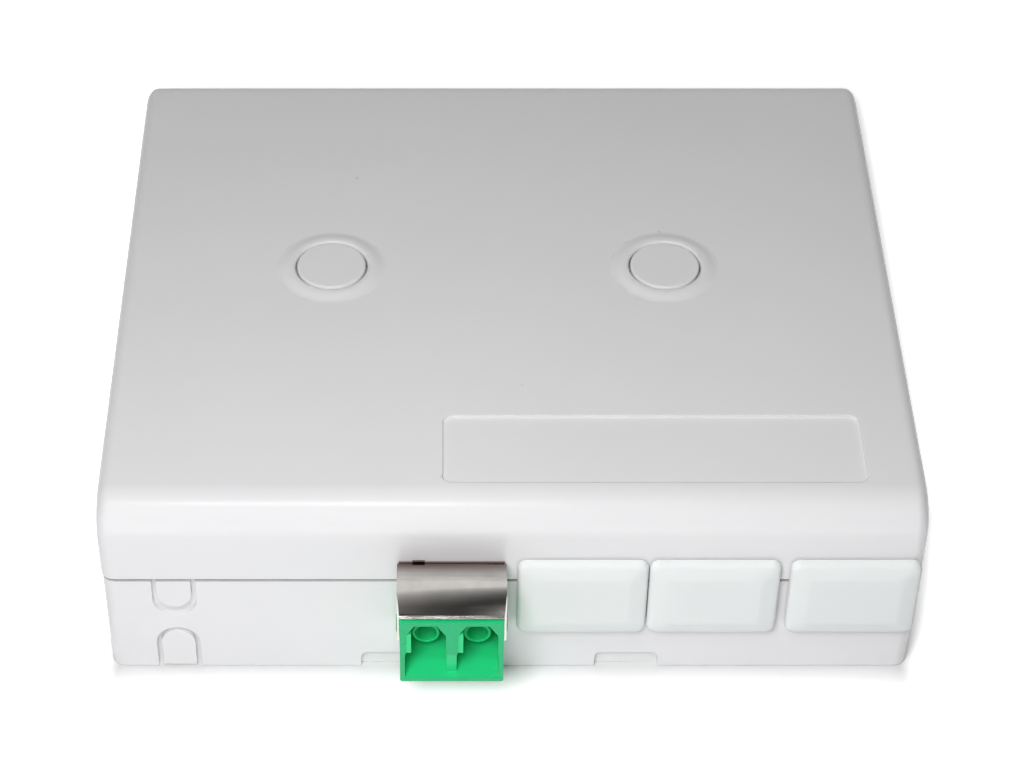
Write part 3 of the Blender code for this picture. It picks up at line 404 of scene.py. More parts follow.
class Sheet(Graph):
    """A material's node tree, built up from its Principled shader."""

    def __init__(self, name: str) -> None:
        """Starts a material with a Principled shader and the piece's own coordinates."""
        self.material = bpy.data.materials.new(name)
        self.material.use_nodes = True
        super().__init__(self.material.node_tree)
        self.shader = self.tree.nodes["Principled BSDF"]
        self.place = self.add("ShaderNodeTexCoord").outputs["Object"]

    def drive(self, name: str, source: Socket) -> None:
        """Joins a socket to one of the shader's own."""
        self.link(source, self.shader.inputs[name])

    def set(self, **values: object) -> None:
        """Sets the shader's own sockets, named with underscores for spaces."""
        for key, value in values.items():
            self.shader.inputs[key.replace("_", " ")].default_value = value

    def coordinate(self, axis: Axis) -> Socket:
        """Where each point of the piece lies along an axis."""
        parts = self.add("ShaderNodeSeparateXYZ")
        self.link(self.place, parts.inputs[0])
        return parts.outputs[axis.name]

    def stretched(self, scale: Point) -> Socket:
        """The piece's coordinates, stretched along each axis."""
        mapping = self.add("ShaderNodeMapping")
        mapping.inputs["Scale"].default_value = scale
        self.link(self.place, mapping.inputs["Vector"])
        return mapping.outputs["Vector"]

    def noise(self, scale: float, detail: float = 2.0, where: Socket | None = None) -> Socket:
        """A noise pattern, with its scale in waves to the metre."""
        node = self.add("ShaderNodeTexNoise")
        node.inputs["Scale"].default_value = scale
        node.inputs["Detail"].default_value = detail
        self.link(where or self.place, node.inputs["Vector"])
        return node.outputs["Fac"]

    def between(self, source: Socket, low: float, high: float, out_low: float, out_high: float) -> Socket:
        """Maps a pattern from one range to another."""
        node = self.add("ShaderNodeMapRange")
        for key, value in (("From Min", low), ("From Max", high), ("To Min", out_low), ("To Max", out_high)):
            node.inputs[key].default_value = value
        self.link(source, node.inputs["Value"])
        return node.outputs["Result"]

    def blend(self, factor: Socket, first: Socket | Point, second: Socket | Point) -> Socket:
        """A colour that goes from one to another with a pattern."""
        node = self.add("ShaderNodeMix", data_type="RGBA")
        self.link(factor, node.inputs["Factor"])
        self.feed(node.inputs[MIX_FIRST], first)
        self.feed(node.inputs[MIX_SECOND], second)
        return node.outputs[MIX_RESULT]

    def roughen(self, pattern: Socket, roughness: float) -> None:
        """Lets a pattern vary the roughness a little."""
        self.drive("Roughness", self.between(pattern, 0.3, 0.7, roughness - 0.03, roughness + 0.04))

    def bump(self, height: Socket, strength: float, distance: float) -> None:
        """Raises the surface with a pattern."""
        node = self.add("ShaderNodeBump")
        node.inputs["Strength"].default_value = strength
        node.inputs["Distance"].default_value = distance
        self.link(height, node.inputs["Height"])
        self.drive("Normal", node.outputs["Normal"])


@dataclass(frozen=True)
class MouldedPlastic:
    """An injection moulded surface: fine spark-eroded grain, faint flow mottling and rare specks."""

    name: str
    colour: Point
    shade: Point
    roughness: float
    grain: float = 0.10
    grain_scale: float = 5200.0
    scatter: float = 0.0
    shine: float = 0.5
    specks: bool = False
    speck_tone: Point = (0.25, 0.24, 0.22)
    speck_share: float = 0.22

    def make(self) -> bpy.types.Material:
        """Builds the material."""
        sheet = Sheet(self.name)
        sheet.drive("Base Color", self.tone(sheet))
        sheet.roughen(sheet.noise(160.0, 2.0), self.roughness)
        sheet.bump(sheet.noise(self.grain_scale, 1.0), self.grain, 0.02 * MM)
        sheet.set(IOR=1.5, Specular_IOR_Level=self.shine)
        if self.scatter:
            sheet.set(Subsurface_Weight=self.scatter, Subsurface_Radius=(1.0, 0.9, 0.8), Subsurface_Scale=0.6 * MM)
        return sheet.material

    def tone(self, sheet: Sheet) -> Socket:
        """The colour, with faint flow marks and any specks."""
        flow = sheet.between(sheet.noise(38.0, 3.0), 0.35, 0.65, 0.0, 1.0)
        tone = sheet.blend(flow, self.colour, self.shade)
        return self.speckled(sheet, tone) if self.specks else tone

    def speckled(self, sheet: Sheet, tone: Socket) -> Socket:
        """Darkens rare dust specks.

        Args:
            sheet: The material being built.
            tone: Its colour so far.

        Returns:
            The colour with specks.
        """
        cells = sheet.add("ShaderNodeTexVoronoi")
        cells.inputs["Scale"].default_value = 90.0
        sheet.link(sheet.place, cells.inputs["Vector"])
        near = sheet.between(cells.outputs["Distance"], 0.012, 0.03, 1.0, 0.0)
        return sheet.blend(sheet.compute("MULTIPLY", near, self.speck_share), tone, self.speck_tone)


@dataclass(frozen=True)
class CasePlastic(MouldedPlastic):
    """The case's plastic, with painted shade in the groove between its two shells."""

    groove: tuple[float, float] = (15.58 * MM, 16.12 * MM)
    fade: float = 0.01 * MM
    # Painted shade: a darker colour laid over the groove between the shells.
    painted_groove_shade: Point = (0.49, 0.475, 0.465)

    def tone(self, sheet: Sheet) -> Socket:
        """The colour, and a darker colour painted as shade at the height of the groove."""
        low, high = self.groove
        half = (high - low) / 2
        offset = sheet.compute("ABSOLUTE", sheet.compute("SUBTRACT", sheet.coordinate(Axis.Z), low + half))
        # Paints the band at the groove's height darker, as shade between the shells.
        return sheet.blend(sheet.between(offset, half - self.fade, half, 1.0, 0.0), super().tone(sheet), self.painted_groove_shade)


@dataclass(frozen=True)
class AdapterPlastic(MouldedPlastic):
    """The adapter's plastic, coloured darker on its outer faces than in its ports as painted shade."""

    # Painted shade: the front face and the outer sides are coloured darker than the ports.
    painted_face_shade: Point = (0.012, 0.46, 0.175)
    face_shade_depth: float = 0.1 * MM
    face: float = 0.0
    side: float = 1.0
    middle: float = 0.0

    def tone(self, sheet: Sheet) -> Socket:
        """The colour of the ports, and a darker painted shade within a hair of the outer faces."""
        front = sheet.between(sheet.coordinate(Axis.Y), self.face, self.face + self.face_shade_depth, 1.0, 0.0)
        offset = sheet.compute("ABSOLUTE", sheet.compute("SUBTRACT", sheet.coordinate(Axis.X), self.middle))
        aside = sheet.between(offset, self.side - self.face_shade_depth, self.side, 0.0, 1.0)
        # Paints the outer faces darker, as shade.
        return sheet.blend(sheet.compute("MAXIMUM", front, aside), super().tone(sheet), self.painted_face_shade)


@dataclass(frozen=True)
class RolledSteel:
    """Thin rolled sheet: fine lines along the rolling direction, faint stains and an optional band of painted shade.
    """

    name: str
    bright: Point
    dull: Point
    roughness: float
    lines: Point
    # Painted shade: an optional darker band, laid along Y.
    painted_shade_tone: Point | None = None
    painted_shade_span: tuple[float, float] = (0.0, 1.0)

    def make(self) -> bpy.types.Material:
        """Builds the material, with painted shade laid along Y over the range given."""
        sheet = Sheet(self.name)
        strokes = sheet.noise(1.0, 3.0, sheet.stretched(self.lines))
        stain = sheet.noise(420.0, 3.0)
        tone = sheet.blend(sheet.between(stain, 0.35, 0.7, 0.0, 1.0), self.bright, self.dull)
        # Paints the band darker along Y, as shade.
        if self.painted_shade_tone:
            share = sheet.between(sheet.coordinate(Axis.Y), *self.painted_shade_span, 0.0, 1.0)
            tone = sheet.blend(share, tone, self.painted_shade_tone)
        sheet.drive("Base Color", tone)
        sheet.roughen(strokes, self.roughness)
        sheet.set(Metallic=1.0)
        sheet.bump(strokes, 0.08, 0.01 * MM)
        return sheet.material


@dataclass(frozen=True)
class SoftRubber:
    """Matt rubber foam with a fine skin."""

    name: str
    colour: Point

    def make(self) -> bpy.types.Material:
        """Builds the material."""
        sheet = Sheet(self.name)
        pores = sheet.noise(2600.0, 2.0)
        lighter = tuple(channel * 1.6 for channel in self.colour)
        sheet.drive("Base Color", sheet.blend(pores, self.colour, lighter))
        sheet.drive("Roughness", sheet.between(pores, 0.3, 0.7, 0.68, 0.82))
        sheet.bump(pores, 0.25, 0.05 * MM)
        return sheet.material


def make_finishes() -> dict[Slot, bpy.types.Material]:
    """Makes the finish of every slot."""
    adapter = Extent.of("adapter_front_housing")
    finishes = {
        Slot.CASE: CasePlastic(
            "case_white", (0.775, 0.770, 0.778), (0.760, 0.757, 0.767), 0.23, scatter=0.12, shine=0.35, specks=True
        ),
        Slot.CAP: MouldedPlastic(
            "cap_white", (0.790, 0.815, 0.806), (0.780, 0.804, 0.796), 0.50, grain=0.06, scatter=0.12, shine=0.2
        ),
        Slot.ADAPTER: AdapterPlastic(
            "adapter_green",
            (0.024, 0.672, 0.250),
            (0.022, 0.640, 0.237),
            0.30,
            grain=0.05,
            scatter=0.10,
            shine=0.3,
            face=adapter.low.y,
            side=6.25 * MM,
            middle=adapter.centre.x,
        ),
        Slot.TRAY: MouldedPlastic("tray_grey", (0.66, 0.67, 0.67), (0.63, 0.64, 0.64), 0.42),
        Slot.SLEEVE: MouldedPlastic("sleeve_white", (0.84, 0.83, 0.80), (0.82, 0.81, 0.78), 0.18, grain=0.02),
        Slot.SHUTTER: RolledSteel(
            "shutter_steel",
            (0.62, 0.595, 0.565),
            (0.55, 0.525, 0.50),
            0.14,
            (300.0, 9000.0, 9000.0),
            # Painted shade: the visor's rear edge and tab are coloured darker, as shade.
            painted_shade_tone=(0.23, 0.165, 0.145),
            painted_shade_span=(-45.7 * MM, -43.8 * MM),
        ),
        Slot.SCREW: RolledSteel("screw_zinc", (0.66, 0.66, 0.64), (0.58, 0.58, 0.55), 0.32, (2500.0,) * 3),
        Slot.COMB: SoftRubber("comb_black", (0.035, 0.035, 0.038)),
    }
    return {slot: finish.make() for slot, finish in finishes.items()}


@dataclass
class Shells:
    """The base and the cover, with the windows, wells, recesses and knock-outs in them."""

    cover: Extent = field(default_factory=lambda: Extent.of("cover"))
    corner: float = 1.6 * MM
    corner_steps: int = 7
    runs: int = 16
    front_edge: float = 4.5 * MM
    rear_edge: float = 2.2 * MM
    edge: float = 0.12 * MM
    wall: float = 2.0 * MM
    lip_wall: float = 0.8 * MM
    lip_height: float = 1.4 * MM
    seam: float = 0.3 * MM
    spare: float = 8.0 * MM
    ledge: float = 0.3 * MM
    draft: float = 0.2 * MM
    parting: float = 16.1 * MM
    top: float = 28.0 * MM
    window_xs: tuple[float, ...] = tuple((-7.3 + 16.25 * index) * MM for index in range(4))
    window_width: float = 12.9 * MM
    window_low: float = 8.0 * MM
    window_high: float = 19.4 * MM
    post_xs: tuple[float, ...] = (-22.9 * MM, 20.7 * MM)
    post_y: float = 2.2 * MM
    label_low: tuple[float, float] = (-8.4 * MM, -37.33 * MM)
    label_high: tuple[float, float] = (42.9 * MM, -25.8 * MM)
    label_corner: float = 1.2 * MM
    label_depth: float = 0.4 * MM
    label_edge: float = 0.34 * MM
    hole_edge: float = 0.38 * MM
    rim_drop: float = 0.20 * MM
    base_edge: float = 0.06 * MM

    def windows(self) -> list[Object]:
        """The cutters for the cover's windows."""
        front = self.cover.low.y
        return [
            Bench.block(
                f"window_{index}",
                (centre - self.window_width / 2, front - OVERRUN, self.window_low),
                (centre + self.window_width / 2, front + self.wall + OVERRUN, self.window_high),
            )
            for index, centre in enumerate(self.window_xs)
        ]

    def plan(self, inset: float, radius: float) -> Outline:
        """The case's outline seen from above, moved in by an inset."""
        half_x = self.cover.size.x / 2 - inset
        half_y = self.cover.size.y / 2 - inset
        return rounded((-half_x, -half_y), (half_x, half_y), radius)

    def make_cover(self) -> Object:
        """Models the cover as one moulding."""
        low, high = self.cover.low, Vector((self.cover.high.x, self.cover.high.y, self.top))
        shell = self.form("cover_shell", low, high, 0.0)
        rise = high.z - low.z
        for vertex in shell.data.vertices:
            vertex.co.x -= math.copysign(self.draft * (vertex.co.z - low.z) / rise, vertex.co.x)
        below = low.z - self.spare - OVERRUN
        Bench.cut(shell, Bench.block("below", (low.x * 2, low.y * 2, below), (high.x * 2, high.y * 2, low.z)))
        thick = Vector((self.wall, self.wall, self.wall))
        Bench.cut(shell, self.form("cover_cavity", low + thick, high - thick, self.wall))
        rabbet = self.plan(self.wall - self.lip_wall - self.seam, 0.5 * MM)
        Bench.cut(
            shell,
            drawn_outline("rabbet", rabbet, Axis.Z, low.z - OVERRUN, self.parting + self.lip_height + self.seam),
        )
        for index, centre in enumerate(self.post_xs):
            self.make_well(shell, index, centre)
        Bench.cut(shell, self.label_recess(), *self.windows())
        Bench.bevel(shell, self.fronts_label, self.label_edge, 4)
        Bench.soften(shell, self.edge)
        Bench.shade(shell)
        return shell

    def profile(self, low: Vector, high: Vector, inset: float) -> Outline:
        """The cover's outline seen from the side, carried on below its rim.

        Args:
            low: The form's lowest corner.
            high: Its highest corner.
            inset: How far it lies inside the cover's outer form.

        Returns:
            Corners as (y, z).
        """
        front, rear = (max(edge - inset, 0.5 * MM) for edge in (self.front_edge, self.rear_edge))
        foot = low.z - self.spare
        return (
            [(low.y, foot), (low.y, high.z - front - self.ledge)]
            + arc((low.y + front, high.z - front), front, 180, 90, 18)
            + [(low.y + front + self.ledge, high.z), (high.y - rear - self.ledge, high.z)]
            + arc((high.y - rear, high.z - rear), rear, 90, 0, 9)
            + [(high.y, high.z - rear - self.ledge), (high.y, foot)]
        )

    def form(self, name: str, low: Vector, high: Vector, inset: float) -> Object:
        """Models the cover's outer form or its cavity, with its ends rounded over.

        Args:
            name: The form's name.
            low: Its lowest corner.
            high: Its highest corner.
            inset: How far it lies inside the cover's outer form.

        Returns:
            The closed form.
        """
        outline = self.profile(low, high, inset)
        corner = max(self.corner - inset, 0.3 * MM)
        sides = [(min(side), max(side)) for side in zip(*outline)]
        middles = [(start + end) / 2 for start, end in sides]
        scales = [1 - 2 * corner / (end - start) for start, end in sides]
        end_face = [
            tuple(middle + (at - middle) * scale for at, middle, scale in zip(point, middles, scales))
            for point in outline
        ]
        turns = [math.radians(90 * step / self.corner_steps) for step in range(1, self.corner_steps + 1)]
        bend = [(corner * (1 - math.cos(turn)), -corner * math.sin(turn)) for turn in turns]
        length = high.x - low.x
        run = [(corner + (length - 2 * corner) * step / self.runs, -corner) for step in range(1, self.runs + 1)]
        back = [(length - reach, drawn) for reach, drawn in reversed(bend[:-1])] + [(length, 0.0)]
        return stacked(name, end_face, Axis.X, low.x, bend + run + back)

    def make_well(self, shell: Object, index: int, centre: float) -> None:
        """Adds a screw well with its raised ring, and bores it."""
        seat, hole, bore, screw = 22.0 * MM, 4.7 * MM, 4.2 * MM, 1.7 * MM
        rise, foot, crest = 0.4 * MM, 7.1 * MM, 5.3 * MM
        well_wall, cap_depth = 1.4 * MM, 1.5 * MM
        sunk, steps = 0.2 * MM, 8
        swell = [(sunk, 0.0)]
        for step in range(1, steps + 1):
            share = step / steps
            swell.append((sunk + rise * (1.0 - math.cos(math.pi * share)) / 2, (foot - crest) * share))
        middle = (seat - self.wall + self.top - self.wall / 2) / 2
        length = self.top - self.wall / 2 - seat + self.wall
        place = (centre, self.post_y)
        Bench.join(
            shell,
            Bench.rod(f"well_{index}", Axis.Z, (*place, middle), bore + well_wall, length, 96),
            stacked(f"ring_{index}", arc(place, foot, 0, 360 - 2.5, 143), Axis.Z, self.top - sunk, swell),
        )
        ledge = self.top + rise - cap_depth
        bore_end = ledge + OVERRUN
        Bench.cut(
            shell,
            Bench.rod(f"seat_{index}", Axis.Z, (*place, ledge + OVERRUN * 2), hole, OVERRUN * 4, 128),
            Bench.rod(f"bore_{index}", Axis.Z, (*place, (seat + bore_end) / 2), bore, bore_end - seat, 96),
            Bench.rod(f"hole_{index}", Axis.Z, (*place, seat), screw, 3 * self.wall, 32),
        )

        def rims_hole(edge: bmesh.types.BMEdge) -> bool:
            """Says whether an edge is on the crest's inner rim."""
            return all(
                v.co.z > self.top + rise - NEAR and (v.co.xy - Vector(place)).length < hole + NEAR for v in edge.verts
            )

        Bench.bevel(shell, rims_hole, self.hole_edge, 4)

    def label_recess(self) -> Object:
        """The shallow place for a label, left bare."""
        outline = rounded(self.label_low, self.label_high, self.label_corner)
        return drawn_outline("label_recess", outline, Axis.Z, self.top - self.label_depth, self.top + OVERRUN)

    def fronts_label(self, edge: bmesh.types.BMEdge) -> bool:
        """Says whether an edge is on the upper rim of the label recess, along its front."""
        (left, front), right = self.label_low, self.label_high[0]
        return all(
            abs(v.co.z - self.top) < NEAR
            and left - NEAR < v.co.x < right + NEAR
            and front - NEAR < v.co.y < front + self.label_corner + NEAR
            for v in edge.verts
        )

    def make_base(self) -> Object:
        """Models the base as one moulding on a refined copy of its packed form."""
        base = refined_copy("base", "base_shell", 0.0)
        rim = self.cover.low.z - self.seam
        for vertex in base.data.vertices:
            if abs(vertex.co.z - rim) < NEAR:
                vertex.co.z -= self.rim_drop
        Bench.soften(base, self.base_edge)
        Bench.shade(base)
        return base


def refined_copy(node: str, name: str, edge: float) -> Object:
    """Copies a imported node, merges it and breaks its edges.

    Args:
        node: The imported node.
        name: The new piece's name.
        edge: The radius given to its sharp edges.

    Returns:
        The piece, shaded smooth.
    """
    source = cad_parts[node]
    Bench.deselect()
    piece = source.copy()
    piece.data = source.data.copy()
    piece.name = piece.data.name = name
    piece.parent = None
    piece.matrix_world = source.matrix_world
    bpy.context.scene.collection.objects.link(piece)
    Bench.settle(piece)
    Bench.merge(piece)
    if edge:
        Bench.soften(piece, edge)
    Bench.shade(piece)
    return piece


@dataclass
class ScrewCaps:
    """The two round plugs over the cover screws."""

    edge: float = 0.28 * MM
    sunk: float = 0.17 * MM
    skirt: float = 4.0 * MM
    skirt_wall: float = 1.0 * MM
    skirt_depth: float = 2.6 * MM
    lap: float = 0.1 * MM

    def make(self, side: str) -> Object:
        """Models one plug from a cylinder, with a soft rim and a hollow skirt."""
        extent = Extent.of(f"screw_cap_{side}")
        place, radius = extent.centre.xy, extent.size.x / 2
        disc_low, top = extent.low.z + self.skirt_depth, extent.high.z - self.sunk
        cap = Bench.rod(f"cap_disc_{side}", Axis.Z, (*place, (disc_low + top) / 2), radius, top - disc_low, 128)
        Bench.bevel(cap, lambda edge: all(abs(v.co.z - top) < NEAR for v in edge.verts), self.edge, 4)
        middle = extent.low.z + self.skirt_depth / 2
        length = self.skirt_depth + 2 * self.lap
        Bench.join(cap, Bench.rod("skirt", Axis.Z, (*place, middle + self.lap), self.skirt, length, 96))
        inside, depth = self.skirt - self.skirt_wall, self.skirt_depth + OVERRUN
        Bench.cut(cap, Bench.rod("hollow", Axis.Z, (*place, middle - OVERRUN / 2), inside, depth, 64))
        Bench.shade(cap)
        return cap


@dataclass
class BlankCaps:
    """The pillow-shaped plugs in the unused windows."""

    corner: float = 1.2 * MM
    skirt_wall: float = 1.2 * MM
    lap: float = 0.3 * MM
    pillow: tuple[tuple[float, float], ...] = (
        (0.45, 0.0),
        (0.72, 0.08),
        (0.95, 0.25),
        (1.08, 0.50),
        (1.20, 1.00),
        (1.32, 1.50),
        (1.43, 1.95),
        (1.485, 2.25),
        (1.5, 2.55),
    )

    def make(self, number: int) -> Object:
        """Models one plug: a plate swelling out to a flat middle, with a hollow skirt behind it.

        Args:
            number: Which window it closes, counted from the adapter's.

        Returns:
            The finished plug.
        """
        extent = Extent.of(f"blank_cap_{number}")
        low, high = extent.low, extent.high
        swell = [(-reach * MM, inset * MM) for reach, inset in self.pillow]
        back = low.y - swell[-1][0]
        outline = rounded((low.x, low.z), (high.x, high.z), self.corner)
        cap = stacked(f"blank_plug_{number}", outline, Axis.Y, back, swell)
        side, under, over = 2.4 * MM, 0.8 * MM, 1.0 * MM
        skirt_low = Vector((low.x + side, back - self.lap, low.z + under))
        skirt_high = Vector((high.x - side, high.y, high.z - over))
        thin = Vector((self.skirt_wall, 0.0, self.skirt_wall))
        reach = Vector((0.0, OVERRUN, 0.0))
        Bench.join(cap, Bench.block("skirt", skirt_low, skirt_high))
        Bench.cut(cap, Bench.block("hollow", skirt_low + thin, skirt_high - thin + reach))
        Bench.shade(cap, 50.0)
        return cap


@dataclass
class Visor:
    """The steel shutter over the adapter: a curved sheet with an ear and a hub at each end, and a tab."""

    radius: float = 7.3 * MM
    sheet: float = 0.25 * MM
    edge: float = 0.05 * MM
    rear: float = 37.0
    waist: float = 14.0
    flat: float = 28.0
    front: float = 40.0
    trimmed: float = 1.2
    narrowed: float = 0.33 * MM
    lip_steps: int = 4
    hub: float = 2.2 * MM
    bore: float = 1.3 * MM
    taper: float = 40.0
    tab_offset: float = -4.0 * MM
    tab_width: float = 1.5 * MM
    tab_height: float = 0.7 * MM
    rim: float = 0.42 * MM

    @staticmethod
    def along(axis: tuple[float, float], radius: float, turn: float, reach: float) -> tuple[float, float]:
        """A point on the tangent that leaves an arc at an angle in degrees."""
        cosine, sine = math.cos(math.radians(turn)), math.sin(math.radians(turn))
        return axis[0] + radius * cosine - reach * sine, axis[1] + radius * sine + reach * cosine

    def make(self) -> Object:
        """Models the visor around its pivots' axis, with a straight lip."""
        extent = Extent.of("shutter")
        middle, half = extent.centre.x, extent.size.x / 2
        axis = (extent.low.y + self.radius * math.sin(math.radians(self.front)), extent.high.z - self.radius)
        start, end, neck = 90 - self.rear, 90 + self.front - self.trimmed, 90 + self.waist
        inside, bend = self.radius - self.sheet, 90 + self.flat
        length = self.radius * math.radians(end - bend)
        reaches = [length * step / self.lip_steps for step in range(1, self.lip_steps + 1)]
        lip = [self.along(axis, self.radius, bend, reach) for reach in reaches]
        under = [self.along(axis, inside, bend, reach) for reach in reversed(reaches)]
        curve = arc(axis, self.radius, start, bend, 40) + lip + under + arc(axis, inside, bend, start, 40)
        visor = drawn_outline("visor", curve, Axis.X, middle - half, middle + half)
        for vertex in visor.data.vertices:
            turned = math.degrees(math.atan2(vertex.co.z - axis[1], vertex.co.y - axis[0]))
            if turned > neck:
                share = math.sin((turned - neck) / (end - neck) * math.pi / 2)
                vertex.co.x -= math.copysign(self.narrowed * share, vertex.co.x - middle)
        ear = arc(axis, self.radius - self.sheet / 2, start, neck, 48)
        ear += arc(axis, self.hub, end + self.taper, start + 360 - self.taper, 40)
        for side in (-1, 1):
            outer = middle + side * half
            inner = outer - side * self.sheet
            Bench.join(visor, drawn_outline(f"ear_{side}", ear, Axis.X, min(outer, inner), max(outer, inner)))
        rise = math.radians(self.rear)
        mid_sheet = self.radius - self.sheet / 2
        rear_y, rear_z = axis[0] + mid_sheet * math.sin(rise), axis[1] + mid_sheet * math.cos(rise)
        strips = (
            ("visor_rim", middle, half - self.sheet, self.rim),
            ("visor_tab", middle + self.tab_offset, self.tab_width / 2, self.tab_height),
        )
        for name, centre, reach, height in strips:
            low = (centre - reach, rear_y - self.sheet, rear_z - self.sheet / 4)
            Bench.join(visor, Bench.block(name, low, (centre + reach, rear_y, rear_z + height)))
        Bench.cut(visor, Bench.rod("visor_bore", Axis.X, (middle, *axis), self.bore, 4 * half, 64))
        Bench.soften(visor, self.edge)
        Bench.shade(visor)
        return visor


@dataclass
class Mouth:
    """The adapter's outer half, with thin-walled tubes in its ports."""

    pitch: float = 6.26 * MM
    flange_rise: float = 1.2 * MM
    tube_drop: float = 6.2 * MM
    tube_setback: float = 4.0 * MM
    tube_bore: float = 1.32 * MM
    bore_depth: float = 3.4 * MM
    edge: float = 0.07 * MM

    def make(self) -> Object:
        """Models the mouth on a copy of its packed form, with the tubes bored out at their ends."""
        extent = Extent.of("adapter_front_housing")
        mouth = refined_copy("adapter_front_housing", "adapter_mouth", 0.0)
        height = extent.high.z - self.flange_rise - self.tube_drop
        start = extent.low.y + self.tube_setback
        for side in (-1, 1):
            place = (extent.centre.x + side * self.pitch / 2, start + (self.bore_depth - OVERRUN) / 2, height)
            length = self.bore_depth + OVERRUN
            Bench.cut(mouth, Bench.rod(f"tube_bore_{side}", Axis.Y, place, self.tube_bore, length, 48))
        Bench.soften(mouth, self.edge)
        Bench.shade(mouth)
        return mouth


@dataclass(frozen=True)
class Lamp:
    """An area lamp, with its sides in metres and its power in watts."""

    name: str
    place: Point
    target: Point
    sides: tuple[float, float]
    power: float
    mirrored: bool = True

    def hang(self) -> None:
        """Hangs the lamp where it is and points it at its target."""
        data = bpy.data.lights.new(self.name, "AREA")
        data.shape = "RECTANGLE"
        data.size, data.size_y = self.sides
        data.energy = self.power
        lamp = bpy.data.objects.new(self.name, data)
        lamp.location = self.place
        lamp.rotation_euler = (Vector(self.target) - Vector(self.place)).to_track_quat("-Z", "Y").to_euler()
        lamp.visible_glossy = self.mirrored
        bpy.context.scene.collection.objects.link(lamp)


